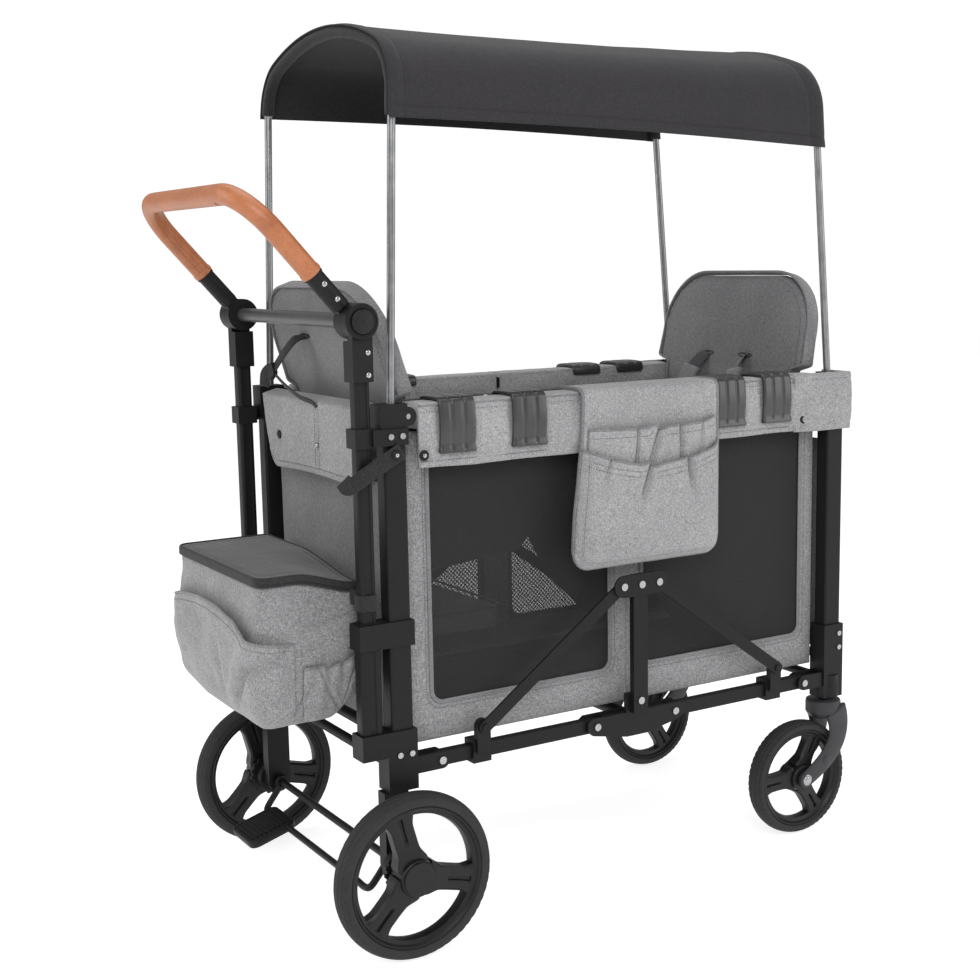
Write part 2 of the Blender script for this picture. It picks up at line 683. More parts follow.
# the cloth casings around the hoops
for end, hems in (("rear", (1226, 1262)), ("front", (1201, 1244))):
    verts, line = [], arch_line(11.2, *hems, 84)
    for y, z, ny, nz in line:
        x = pole_x(end, z)
        for g in turn(14):
            a, b = 8.4 * squarish(cos(g), 0.8), 7.5 * squarish(sin(g), 0.8)
            w = 0.5 * wrinkle(x + a, y, z, 0.06, 5)
            verts.append((x + a + w, y + ny * (b + w), z + nz * (b + w)))
    casing = piece("canopy_casing_" + end, verts, grid_faces(len(line), 14, wrap_v=True), "canopy_in")
    wear(thicken(casing, 0.8), end + "_frame")
for end, v in (("rear", 27.5 / 830), ("front", 1 - 27.5 / 830)):
    canopy_stitches("canopy_seam_" + end, [canopy_point(u, v, 0.2) for u in steps(CANOPY_NU)])
for side, tag in SIDES:
    hem = [canopy_point((side + 1) / 2, 0.012 + 0.976 * t, 0.4) for t in steps(120)]
    canopy_stitches("canopy_hem_stitch_" + tag, [(x, y + 0.6 * side, z + 17) for x, y, z in hem])

# ------------------------------------------------------------ tub: side panels, nets, walls, floor

PANEL_Y = MID - 16.2


def rounded_rect(x0, x1, z0, z1, r, n):
    """n points around a rounded rectangle, the same share of each side for any size."""
    w, h = x1 - x0, z1 - z0
    out = []
    per = n // 4
    corners = [((x0 + r, z0 + r), 180), ((x1 - r, z0 + r), 270), ((x1 - r, z1 - r), 0), ((x0 + r, z1 - r), 90)]
    for k in range(4):
        (cx, cz), a0 = corners[k]
        (dx, dz), a1 = corners[(k + 1) % 4]
        arc = per // 4
        for i in range(arc):
            a = radians(a0 + 90 * i / arc)
            out.append((cx + r * cos(a), cz + r * sin(a)))
        a = radians(a0 + 90)
        p = (cx + r * cos(a), cz + r * sin(a))
        q = (dx + r * cos(radians(a1)), dz + r * sin(radians(a1)))
        rest = per - arc
        for i in range(rest):
            t = i / rest
            out.append((p[0] + (q[0] - p[0]) * t, p[1] + (q[1] - p[1]) * t))
    return out


def ring_panel(outer, inner, side):
    """The cloth around one window, from its outer edge in to the net."""
    n, rings = 320, 16
    ring = list(zip(rounded_rect(*outer, 2.0, n), rounded_rect(*inner, 20.0, n)))
    verts = []
    for t in steps(rings):
        bow = sin(pi * t)
        for (ax, az), (bx, bz) in ring:
            x, z = ax + (bx - ax) * t, az + (bz - az) * t
            push = 1.5 * bow ** 0.7 + (2.4 * smooth(380, 310, z) + 1.5 * wrinkle(x, 0, z, 0.03, 11 * side)) * bow
            push -= bump(hypot(bx - ax, bz - az) * (1 - t), 9, 2.5)
            verts.append((x, side * (PANEL_Y - 0.8 + push), z))
    return thicken(piece("panel_part", verts, grid_faces(rings, n, wrap_v=True), "heather"), 1.4)


WINDOWS = [((24, 430, 299, 774), (66, 398, 356, 735)), ((430, 836, 299, 774), (462, 806, 356, 735))]
for side, tag in SIDES:
    panel = joined("side_panel_" + tag, [ring_panel(*boxes, side) for boxes in WINDOWS])
    soft_tub(panel, "side_panels", flat=(0.81, 0.475), held="stretched", rests_on=["side_panels"], area=0.152)
    for k, (_, (x0, x1, z0, z1)) in enumerate(WINDOWS, 1):
        wide, tall, end = x1 - x0 + 12, z1 - z0 + 12, "%s_%d" % (tag, k)

        def net_point(u, v):
            dip = 2.2 * sin(pi * u) * sin(pi * v) - 0.7 * wrinkle(u * 300, 0, v * 300, 0.02, k - 1 + side)
            return (x0 - 6 + wide * u, side * (PANEL_Y - 1.6 - dip), z0 - 6 + tall * v)
        soft_tub(sheet_grid("net_" + end, 40, 44, net_point, "net"), flat=(wide / 1000, tall / 1000),
                 held="stretched", rests_on=["side_panel_" + tag])
        edge = [(x, side * (PANEL_Y + 0.3), z) for x, z in rounded_rect(x0, x1, z0, z1, 20, 240)]
        soft_tub(tube("net_binding_" + end, edge, "piping", closed=True, profile=box_profile(3.6, 1.3, 1.2, 3),
                      up=(0, side, 0)))
        row = [(x, side * (PANEL_Y + 1.6), z) for x, z in rounded_rect(x0 - 9, x1 + 9, z0 - 9, z1 + 9, 26, 240)]
        soft_tub(stitches("net_stitch_" + end, row + row[:1]))

for end, wall_x, half, low_half, flat in (("rear", 0, 182, 172, 0.364), ("front", END_X, 199, 199, 0.398)):
    def wall_point(u, v):
        y, z = (low_half + (half - low_half) * smooth(0, 0.5, v)) * (2 * u - 1), 324 + 376 * v
        w = 2.2 * wrinkle(0, y, z, 0.018, wall_x) + 2.0 * sin(pi * u) * sin(pi * v)
        return (wall_x + w * 0.5, y, z)
    wear(thicken(sheet_grid(end + "_wall_cloth", 60, 60, wall_point, "heather_dark"), 2.0, 0), end + "_frame",
         end + "_wall", flat=(flat, 0.378), held="stretched", rests_on=[end + "_posts"])


def floor_point(u, v):
    x, y = 24 + (END_X - 48) * u, -200 + 400 * v
    seam = 1.4 * bump(abs(x - END_X / 2), 0, 5) + 1.2 * bump(abs(abs(y) - 170), 0, 5)
    pad = 3.0 * (abs(sin(pi * (x - 24) / (END_X - 48) * 2)) ** 0.35) * (1 - bump(abs(y), 200, 18))
    return (x, y, 301.5 + pad - seam + 0.6 * wrinkle(x, y, 0, 0.03, 2))


soft_tub(thicken(sheet_grid("floor_cloth", 150, 70, floor_point, "dark_cloth"), 3.4), "floor_mat", flat=(0.81, 0.40),
         held="laid", rests_on=["rear_base_rails", "front_base_rails"])

# the dark guards between each seat and the side panel: distances from the posts, lower edge, flat height and area
GUARDS = (("rear", [34, 91, 237, 287, 349, 420], [551, 557, 571, 622, 672, 740], 0.224, 0.065),
          ("front", [34, 240, 330, 420], [330, 345, 430, 600], 0.445, 0.148))
for side, tag in SIDES:
    for end, guard_x, guard_z, tall, area in GUARDS:
        def guard_point(u, v):
            x = 34 + 386 * u
            z0 = float(np.interp(x, guard_x, guard_z))
            z = z0 + (775 - z0) * v
            return (end_x(end, x), side * (181 + 1.2 * wrinkle(x, side * 50, z, 0.02, 14)), z)
        guard = thicken(sheet_grid("%s_guard_%s" % (end, tag), 50, 34, guard_point, "dark_cloth"), 1.4, 0)
        soft_tub(guard, flat=(0.386, tall), area=area, held="stretched", rests_on=["side_panel_" + tag])

# ------------------------------------------------------------ padded sleeves on the top rails

TOP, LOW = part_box("rear_sleeves")[1].z * 1000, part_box("rear_sleeves")[0].z * 1000
CLIPS = {"rear": [102, 228], "front": [138, 238]}


def sleeve_section(puff, droop, pinch):
    """The closed outline of a padded sleeve as (distance from the middle, height), outer face first."""
    out = []
    n_out = 30
    for i in range(n_out):
        t = i / (n_out - 1)
        z = LOW + (TOP - 6 - LOW) * t
        belly = puff * sin(pi * min(1, t * 1.06)) ** 0.8
        seam = -1.6 * bump(z, LOW + 9, 2.4)
        out.append((MID + 11.6 + belly + seam - pinch * smooth(0.2, 0.9, t), z - droop * (1 - t)))
    for i in range(1, 9):
        a = pi / 2 * i / 8
        out.append((MID + 8.5 + (3.2 - pinch * 0.3) * cos(a) + puff * 0.2 * cos(a),
                    TOP - 6 + 5.4 * sin(a)))
    for i in range(1, 12):
        t = i / 12
        out.append((MID + 8.5 - 44 * t, TOP - 0.6 + 0.9 * sin(pi * t) - pinch * 0.15))
    for i in range(9):
        a = pi / 2 + pi / 2 * i / 8
        out.append((MID - 34.5 + 4.4 * cos(a), TOP - 5.5 + 4.9 * sin(a)))
    for i in range(1, 9):
        t = i / 8
        out.append((MID - 38.9 - 0.6 * puff * sin(pi * t), TOP - 5.5 - (TOP - 5.5 - 780) * t))
    for i in range(1, 7):
        t = i / 6
        out.append((MID - 37 + 43 * t, 779.5))
    for i in range(1, 9):
        t = i / 8
        out.append((MID + 6.6 + 1.2 * sin(pi * t), 779 - (779 - LOW) * t - droop * t))
    return out


def sleeve(end, side, tag, start, stop=425):
    """Lofts the sleeve along the rail, in millimetres from that end's posts."""
    def near_clip(x):
        return min(abs(x - c) for c in CLIPS[end])
    rows = []
    for t in steps(110):
        x = start + (stop - start) * t
        open_end = min(t, 1 - t) * (stop - start)
        puff = 5.2 * smooth(0, 34, open_end) * (1 - 0.75 * smooth(40, 28, near_clip(x))) + 0.4
        puff *= 1 + 0.35 * wrinkle(x, 0, 0, 0.02, side * 7)
        droop = 2.0 * wrinkle(x, 0, 5, 0.012, side * 3 + (1 if end == "rear" else 9))
        row = []
        for k, (y, z) in enumerate(sleeve_section(puff, droop, 2.4 * smooth(38, 26, near_clip(x)))):
            w = 1.1 * wrinkle(end_x(end, x), y, z, 0.05, side) * smooth(0, 30, open_end)
            fold = 1.1 * bump(near_clip(x), 36, 7) * sin(k * 0.9 + x * 0.05)
            row.append((end_x(end, x), side * (y + w + fold * 0.6), z + w * 0.3))
        rows.append(row)
    name, body = "%s_sleeve_%s" % (end, tag), end + "_rails"
    wear(loft(name, rows, "heather_light"), body, end + "_sleeves")

    def along(out, z, pinch):
        """A line on the sleeve, out from the posts' line, pulled in under the clips."""
        xs = [start + (stop - start) * t for t in steps(81)]
        return [(end_x(end, x), side * (MID + out - pinch * smooth(38, 26, near_clip(x))), z) for x in xs]
    tube("%s_piping_%s" % (name, tag), along(12.2, TOP - 4.5, 2.2), "piping", body, r=1.5, sides=8)
    stitches(name + "_stitch_top", along(16.0, TOP - 13, 2.64), body)
    stitches(name + "_stitch_low", along(11.9, LOW + 9.2, 0), body)


def corner_wrap(name, side):
    """The end of the front sleeve, folded around the front post and in over its top."""
    path = [(END_X - x, MID + 13.0 + 8.6 * smooth(96, 48, x), 0, 1) for x in np.linspace(96, 44, 10)]
    path += [(END_X - x, MID + 21.6, 0, 1) for x in np.linspace(38, -22, 12)]
    for i in range(1, 9):
        a = pi / 2 * i / 8
        path.append((END_X + 22 + 6.5 * sin(a), MID + 15.1 + 6.5 * cos(a), sin(a), cos(a)))
    path += [(END_X + 28.5, float(y), 1, 0) for y in np.linspace(MID + 12, MID - 40, 14)[1:]]
    rise = [(0.0, LOW - 1 + (TOP - 5 - LOW) * t, t) for t in steps(25)]
    rise += [(6 - 6 * cos(a), TOP - 6 + 6 * sin(a), 1.0) for a in np.linspace(0.2, pi / 2, 7)]
    rise += [(6 + 3 * j, TOP, 1.0) for j in (1, 2)]
    verts = []
    for t, (x, y, nx, ny) in zip(steps(len(path)), path):
        for inward, z, v in rise:
            d = 2.6 * sin(pi * min(v, 0.97)) ** 0.8 * smooth(0, 0.12, t) * smooth(1.0, 0.88, t)
            d += 0.9 * wrinkle(x, y, z, 0.05, side * 2) - 1.2 * bump(z, LOW + 9, 2.4) - 1.0 * bump(z, TOP - 12, 2.4)
            d -= inward * (1 - 1.1 * nx * ny)
            verts.append((x + nx * d, side * (y + ny * d), z))
    wrap = thicken(piece(name, verts, grid_faces(len(path), len(rise)), "heather_light"), 2.6, 0, even=False)
    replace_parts(wrap, "front_sleeves")
    parts = [wrap]
    for z, nm in ((LOW + 9, "low"), (TOP - 9, "top")):
        line = [(x + 1.4, side * y, z) if x - END_X > 21.9 else (x, side * (y + 1.4), z) for x, y, _, _ in path[2:-1]]
        parts.append(stitches("%s_stitch_%s" % (name, nm), line))
    for o in parts:
        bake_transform(o)


for side, tag in SIDES:
    sleeve("rear", side, tag, 40)
    sleeve("front", side, tag, 44)
for side, tag in SIDES:
    corner_wrap("corner_wrap_" + tag, side)


def clip(name, end, side, x, body):
    """A moulded hook over the sleeve: two grooves down its face and a thick foot."""
    path = [(MID - 43, 806), (MID - 43, 810), (MID - 43, 814)]
    for i in range(1, 7):
        a = pi / 2 * i / 6
        path.append((MID - 36 - 7 * cos(a), 814 + 7.5 * sin(a)))
    for t in np.linspace(0, 1, 8)[1:]:
        path.append((MID - 36 + 43.5 * t, 821.5 + 0.8 * sin(pi * t)))
    for i in range(1, 8):
        a = pi / 2 * i / 7
        path.append((MID + 7.5 + 9.2 * sin(a), 812.3 + 9.2 * cos(a)))
    for z in np.linspace(812, 752, 12)[1:]:
        path.append((MID + 16.7 + 2.2 * sin(pi * (812 - z) / 60), float(z)))
    path += [(MID + 17.2, 748), (MID + 17.6, 745), (MID + 17.6, 741.5)]
    nu = 41
    verts, faces = [], []
    count = len(path)
    for i, (y, z) in enumerate(path):
        a, b = path[max(0, i - 1)], path[min(count - 1, i + 1)]
        d = Vector((b[0] - a[0], b[1] - a[1])).normalized()
        nrm = (-d[1], d[0])
        foot = 2.0 * smooth(750, 746, z) if y > MID else 0.0
        for k in range(nu):
            u = k / (nu - 1) * 2 - 1
            groove = -1.5 * (bump(u, -0.36, 0.075) + bump(u, 0.36, 0.075)) if (y > MID + 6 or z > 818) else 0
            groove *= smooth(744, 752, z) if y > MID else 1.0
            edge = 0.9 * bump(abs(u), 1.0, 0.07)
            half_t = 2.5 + foot * 0.8
            w = 30 + foot * 0.7 - 1.5 * (1 if i in (0, count - 1) else 0)
            for sgn in (1, -1):
                lift = half_t + (groove + 0.5 * (1 - u * u) - edge if sgn > 0 else 0)
                yy = y + nrm[0] * lift * sgn
                zz = z + nrm[1] * lift * sgn
                verts.append((x + w * u if end == "rear" else END_X - (x + w * u), side * yy, zz))
    def idx(i, k, s):
        return (i * nu + k) * 2 + s
    for i in range(count - 1):
        for k in range(nu - 1):
            faces.append((idx(i, k, 0), idx(i, k + 1, 0), idx(i + 1, k + 1, 0), idx(i + 1, k, 0)))
            faces.append((idx(i, k, 1), idx(i + 1, k, 1), idx(i + 1, k + 1, 1), idx(i, k + 1, 1)))
        for k in (0, nu - 1):
            faces.append((idx(i, k, 0), idx(i + 1, k, 0), idx(i + 1, k, 1), idx(i, k, 1)))
    for i in (0, count - 1):
        for k in range(nu - 1):
            faces.append((idx(i, k, 0), idx(i, k, 1), idx(i, k + 1, 1), idx(i, k + 1, 0)))
    o = piece(name, verts, faces, "clip")
    bevel(outward(o), 0.0009, 3, 50)
    return wear(applied(o), body, end + "_rail_clips")


for side, tag in SIDES:
    for end in CLIPS:
        for k, x in enumerate(CLIPS[end], 1):
            clip("%s_clip_%s_%d" % (end, tag, k), end, side, x, end + "_rails")

# ------------------------------------------------------------ more helpers

def lathe(name, profile, centre, axis=(0, 1, 0), mat="plastic", body=None, n=40, ring=False, relief=None, angle=38):
    """Turns (radius, distance along the axis) points, in millimetres, about an axis through centre."""
    a = Vector(axis).normalized()
    u = Vector((1, 0, 0)) if abs(a.x) < 0.5 else Vector((0, 0, 1))
    u = (u - a * a.dot(u)).normalized()
    w = u.cross(a) if a.y > 0.5 else a.cross(u)
    m = len(profile)
    verts = []
    for i in range(n):
        g = 2 * pi * i / n
        d = u * cos(g) + w * sin(g)
        for r, h in profile:
            if relief:
                r, h = relief(g, r, h)
            verts.append(Vector(centre) + a * h + d * r)
    faces = grid_faces(n, m, wrap_u=True, wrap_v=ring)
    if not ring:
        faces.append(tuple(i * m for i in range(n)))
        faces.append(tuple(i * m + m - 1 for i in range(n)))
    o = crisp(outward(piece(name, verts, faces, mat)), angle)
    if body:
        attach(o, body)
    return o


def dome(name, centre, axis, r, h, mat, body, n=28):
    """A low round head, such as a rivet's or a snap's."""
    prof = [(r, 0), (r, h * 0.35)] + [(r * cos(a), h * (0.35 + 0.65 * sin(a)))
                                      for a in (0.4, 0.8, 1.2, 1.5)]
    return lathe(name, prof, centre, axis, mat, body, n)


def prism(name, outline, lo, hi, axis, mat):
    """A closed solid from a flat outline, stretched along x or z, in millimetres."""
    n = len(outline)
    if axis == "x":
        verts = [(lo, a, b) for a, b in outline] + [(hi, a, b) for a, b in outline]
    else:
        verts = [(a, b, lo) for a, b in outline] + [(a, b, hi) for a, b in outline]
    faces = [(i, (i + 1) % n, n + (i + 1) % n, n + i) for i in range(n)]
    faces += [tuple(range(n))[::-1], tuple(range(n, 2 * n))]
    return outward(piece(name, verts, faces, mat))


# ------------------------------------------------------------ seats

BEND_Z = 806
LEAN = {"rear": tan(radians(17)), "front": tan(radians(12))}


def lean_by(end, z):
    """How far the seat back has moved outwards at height z: nothing below the bend, which is rounded."""
    h = z - BEND_Z
    if h < -12:
        return 0.0
    return LEAN[end] * (h if h > 12 else (h + 12) ** 2 / 48)


def back_outline():
    """Half-widths of the seat back, narrow between the rails and wide above them, as (y, height)."""
    right = [(166, 489), (172, 497)]
    for z in range(520, 817, 20):
        right.append((172, z))
    for i in range(7):
        t = i / 6
        right.append((172 + 29 * smooth(0, 1, t), 820 + 12 * t))
    for z in (846, 860, 874):
        right.append((201 - (z - 832) * 0.07, z))
    for i in range(0, 15):
        a = pi / 2 * i / 14
        right.append((98 + 100 * cos(a), 888 + 100 * sin(a)))
    return right + [(-y, z) for y, z in reversed(right)]


def seat(end):
    body, stands = end + "_frame", end + "_seat"

    def place(x, y, z):
        return (end_x(end, x), y, z)

    def on_back(x, y, z):
        return place(x - lean_by(end, z), y, z)

    def shape_back(x, y, z):
        inner = 1 if x > 43 else -1
        push = 1.6 * wrinkle(x, y, z, 0.012, 4 if end == "rear" else 6)
        push -= bump(z, 822, 9) * (1 if abs(y) < 150 else 0.4) * (1 - smooth(830, 870, z) * 0.3)
        if inner > 0:
            push -= 3.5 * (bump(y, 54, 16) + bump(y, -54, 16)) * bump(z, 842, 9)
        return place(x + inner * push - lean_by(end, z), y, z)

    outline = back_outline()
    back = inflate(prism(end + "_seat_back", outline, 31, 55, "x", "heather_dark"), 7, 4.5)
    wear(outward(moved(back, shape_back)), body, stands)
    rim = [on_back(43, y * 1.002, 488 + (z - 488) * 1.001) for y, z in outline]
    tube(end + "_back_binding", rim, "piping", body, closed=True, profile=box_profile(12.4, 2.2, 1.6, 3), up=(0, 1, 0))
    for face, tag in ((57.5, "inner"), (28.5, "outer")):
        row = [on_back(face, y * 0.93, 488 + (z - 488) * 0.975 + 4) for y, z in outline]
        stitches("%s_back_stitch_%s" % (end, tag), row + row[:1], body, pitch=4.8, length=3.3)
    pan = prism(end + "_seat_pan", rounded_rect(30, 213, -171, 171, 16, 64), 448, 484, "z", "heather_dark")
    inflate(pan, 8, 4)
    moved(pan, lambda x, y, z: place(x, y, z + 1.4 * wrinkle(x, y, z, 0.015, 2) - 2.0 * bump(y, 0, 7)))
    wear(outward(pan), body, stands)
    edge = [place(a, b, 485) for a, b in rounded_rect(30, 213, -171, 171, 16, 96)]
    tube(end + "_pan_piping", edge, "piping", body, sides=8, closed=True, up=(0, 0, 1))
    for bow, tag in SIDES[::-1]:
        ring = [on_back(58.2, 54 * bow + 19 * cos(a), 843 + 3.2 * sin(a)) for a in np.linspace(0, 6.0, 20)]
        tube("%s_slot_%s" % (end, tag), ring, "dark_cloth", body, r=1.5, sides=8, closed=True, up=(1, 0, 0))
        for nm, start, ts, mat, profile in (
                ("harness", 58, np.linspace(0, 1, 26), "dark_cloth", (12, 0.9, 0.8, 2)),
                ("shoulder_pad", 60, np.linspace(0.12, 0.5, 14), "heather_dark", (19, 4.2, 3.6, 4))):
            path = []
            for t in ts:
                out = start + 44 * sin(pi * min(1, t * 1.15)) ** 0.8 * (1 - 0.3 * t) + 10 * t
                path.append(on_back(out, bow * (54 + 20 * sin(pi * t) - 12 * t), 842 - 330 * t ** 1.25))
            tube("%s_%s_%s" % (end, nm, tag), path, mat, body, profile=box_profile(*profile), up=(1, 0, 0.2))
    belt = [place(60 + 74 * sin(pi * t), 130 - 260 * t, 497 + 8 * sin(pi * t) ** 2) for t in np.linspace(0, 1, 30)]
    tube(end + "_lap_belt", belt, "webbing", body, profile=box_profile(12, 0.9, 0.8, 2), up=(0.3, 0, 1))
    lathe(end + "_buckle", [(2, -9), (15, -9), (17, -6), (17, 6), (15, 8), (11, 9.5), (2, 9.8)],
          place(134, 0, 512), (0, 0, 1), "plastic", body)


def flat_strap(name, points, body, half=11.0, thick=0.9, up=(0, 0, 1)):
    return tube(name, points, "webbing", body, profile=box_profile(half, thick, thick * 0.9, 2), up=up)


seat("rear")
seat("front")


def curve(points, n=24):
    """A smooth line through a few points."""
    pts = [Vector(p) for p in points]
    pts = [pts[0] * 2 - pts[1]] + pts + [pts[-1] * 2 - pts[-2]]
    out = []
    for i in range(1, len(pts) - 2):
        a, b, c, d = pts[i - 1:i + 3]
        steps = max(2, n // (len(pts) - 3))
        for k in range(steps):
            t = k / steps
            out.append(0.5 * ((2 * b) + (c - a) * t + (2 * a - 5 * b + 4 * c - d) * t * t
                              + (3 * b - a - 3 * c + d) * t ** 3))
    return out + [pts[-2]]


# the strap and buckle behind the rear seat back
tube("back_slot", [(-6.5, 56 + 17 * cos(a), 907 + 3.0 * sin(a)) for a in np.linspace(0, 6.0, 20)],
     "webbing", "rear_frame", r=1.6, sides=8, closed=True, up=(1, 0, 0))
for nm, points, n, half, up in (
        ("upper", [(-6, 58, 906), (-24, 52, 903), (-36, 66, 884), (-44, 90, 858)], 24, 10, (1, 0.3, 0.4)),
        ("lower", [(-45, 96, 850), (-42, 60, 832), (-36, 18, 815), (-31, -16, 809), (-26, -24, 800)], 28, 5,
         (1, 0, 0.5)),
        ("tail", [(-46, 100, 856), (-50, 116, 845), (-50, 122, 826)], 12, 10, (1, 0.2, 0.4))):
    flat_strap("back_strap_" + nm, curve(points, n), "rear_frame", half, up=up)
buckle = prism("back_buckle", rounded_rect(-13, 13, -11, 11, 4, 32), -3.6, 3.6, "z", "plastic")
moved(buckle, lambda x, y, z: (-46 + z, 99 + x * 0.86 + y * 0.5, 851 - x * 0.5 + y * 0.86))
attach(crisp(outward(buckle)), "rear_frame")

# ------------------------------------------------------------ the flap over the rear wall's top

FLAP_X = -24.0


def flap_point(u, v):
    """u runs from the near side to the far side and v from the hem up to the wall."""
    half = 165 + 24 * min(1.0, v / 0.86)
    y = half * (2 * u - 1)
    corner = max(0.0, 189 * abs(2 * u - 1) - (189 - 34))
    z0 = 690 + 34 - sqrt(max(0.0, 34 ** 2 - corner ** 2)) + 5 * sin(pi * u)
    z = z0 + (808 - z0) * min(1.0, v / 0.86)
    over = max(0.0, (v - 0.86) / 0.14)
    belly = 2.4 * sin(pi * min(1, v)) + 1.6 * wrinkle(0, y, z, 0.02, 4)
    seam = 1.6 * bump(y, -28, 3.2) - 0.9 * bump(z - z0, 9, 2.2)
    x = FLAP_X - belly + seam + 24 * sin(over * pi / 2)
    return (x, y, z + 6.5 * sin(over * pi / 2))


wear(outward(thicken(sheet_grid("rear_flap", 120, 50, flap_point, "heather"), 2.6, 0)), "rear_frame", "rear_wall",
     flat=(0.378, 0.15), area=0.053, held="hung", rests_on=["rear_posts"])
stitches("flap_stitch", [Vector(flap_point(u, 0.075)) + Vector((-1.9, 0, 0)) for u in np.linspace(0.012, 0.988, 90)],
         "rear_frame")
for off in (-7, 7):
    seam = [(FLAP_X - 5.6, -28 + off, z) for z in range(704, 806, 6)]
    stitches("flap_seam_stitch_%d" % (off + 7), seam, "rear_frame", r=0.45)
dome("flap_snap", (FLAP_X - 3.5, 121, 746), (-1, 0, 0), 7, 3.4, "plastic", "rear_frame")
dome("flap_rivet", (FLAP_X - 5.0, -26, 742), (-1, 0, 0), 4, 2.2, "rivet", "rear_frame")

# ------------------------------------------------------------ side organiser

ORG_X0, ORG_X1 = END_X / 2 - 133, END_X / 2 + 159
ORG_Y = MID + 21.5


def org_bottom(x, x0, x1, z0, r):
    d = max(0.0, x0 + r - x, x - (x1 - r))
    return z0 + r - sqrt(max(0.0, r * r - min(d, r) ** 2))


def slant(x, z):
    """The organiser's left edge leans in towards the top."""
    return x + (6 + 20 * smooth(560, 790, z)) * (ORG_X1 - x) / (ORG_X1 - ORG_X0)


def organiser_back(u, v):
    """The panel from its bottom edge up and over the sleeve."""
    x = ORG_X0 + (ORG_X1 - ORG_X0) * u
    z0 = org_bottom(x, ORG_X0, ORG_X1, 539, 28)
    up_len, arc, back_len = 808 - z0, 20.0, 50.0
    s = v * (up_len + arc + back_len)
    if s < up_len:
        y, z = ORG_Y, z0 + s
    elif s < up_len + arc:
        a = (s - up_len) / arc * pi / 2
        y, z = ORG_Y - 13 + 13 * cos(a), 808 + 13 * sin(a)
    else:
        y, z = ORG_Y - 13 - (s - up_len - arc), 821
    w = 1.4 * wrinkle(x, y, z, 0.022, 12) + (1.2 * bump(x, ORG_X0 + 6, 4) + 1.2 * bump(x, ORG_X1 - 6, 4))
    seam = 1.3 * bump(x, ORG_X0 + 122, 3) * smooth(752, 764, z)
    tuck = 1.8 * sin(pi * u * 5 + 1) * bump(z, 805, 18) * 0.4
    return (slant(x, z), -(y + w - seam + tuck), z)


soft_tub(outward(thicken(sheet_grid("organiser_back", 110, 90, organiser_back, "heather_light"), 2.6, 0)), "organiser",
         flat=(0.292, 0.352), held="hung", rests_on=["front_sleeves", "rear_sleeves"])

# pleats: where across the pocket, how they lean, and how deep
PLEATS_UP = [(0.52, 0.10, 11.0), (0.69, -0.06, 10.0), (0.88, 0.02, 5.0)]
PLEATS_LOW = [(0.455, 0.10, 16.0), (0.735, -0.05, 14.0), (0.17, 0.11, 7.0)]


def upper_pocket(u, v):
    x = ORG_X0 + 12 + (ORG_X1 - ORG_X0 - 20) * u
    top = 757 - 3 * sin(pi * u) + 6 * smooth(0.86, 1.0, u) + 5 * bump(u, 0.47, 0.03) - 4 * bump(u, 0.53, 0.03)
    z = 640 + (top - 640) * v
    full = 13 * sin(pi * min(max(u, 0.0), 1.0)) ** 0.35 * (0.55 + 0.45 * v)
    full -= 9 * bump(u, 0.36, 0.012) + 2.5 * bump(u, 0.36, 0.05)
    for c, lean, deep in PLEATS_UP:
        line = c - lean * (1 - v)
        full -= deep * bump(u, line, 0.012 + 0.018 * (1 - v)) * (0.5 + 0.5 * v)
        full += deep * 0.3 * bump(u, line + 0.045, 0.03) * v
    full += 1.2 * wrinkle(x, 0, z, 0.035, 3)
    return (slant(x, z), -(ORG_Y + 2.0 + max(0.6, full)), z)


def lower_mouth(u):
    return 727 - 31 * sin(pi * u) ** 0.9 - 4 * smooth(0.6, 1, u) + 3.5 * bump(u, 0.43, 0.03) \
        - 3 * bump(u, 0.475, 0.02)


def lower_pocket(u, v):
    x = ORG_X0 + 1 + (ORG_X1 - ORG_X0 - 2) * u
    z0 = org_bottom(x, ORG_X0, ORG_X1, 539, 28)
    z = z0 + (lower_mouth(u) - z0) * v
    around = min(1.0, min(u, 1 - u) / 0.11)
    low = min(1.0, v / 0.13)
    full = 23 * sin(pi / 2 * around) ** 0.8 * sin(pi / 2 * low) ** 0.8 * (0.78 + 0.22 * sin(pi * v))
    for c, lean, deep in PLEATS_LOW:
        t = 1 - v
        line = c - lean * t * 1.6
        fade = smooth(0.62 if deep > 6 else 0.3, 0.0, t)
        full -= deep * bump(u, line, 0.011 + 0.035 * t) * fade
        full += deep * 0.32 * bump(u, line + 0.05, 0.035) * fade
    full += 2.2 * wrinkle(x, 0, z, 0.016, 9) * low * around + 0.8 * wrinkle(x, 0, z, 0.05, 2)
    full += -0.9 * bump(min(x - ORG_X0, ORG_X1 - x), 9, 2.2) - 0.9 * bump(z - z0, 9, 2.2)
    return (slant(x, z), -(ORG_Y + 2.4 + max(0.4, full)), z)


def on_pocket(f, out, *runs):
    """Points of a pocket's surface, moved out a little, along runs of (u from, u to, v from, v to, count)."""
    return [Vector(f(u, v)) + Vector((0, -out, 0)) for u0, u1, v0, v1, n in runs
            for u, v in zip(np.linspace(u0, u1, n), np.linspace(v0, v1, n))]


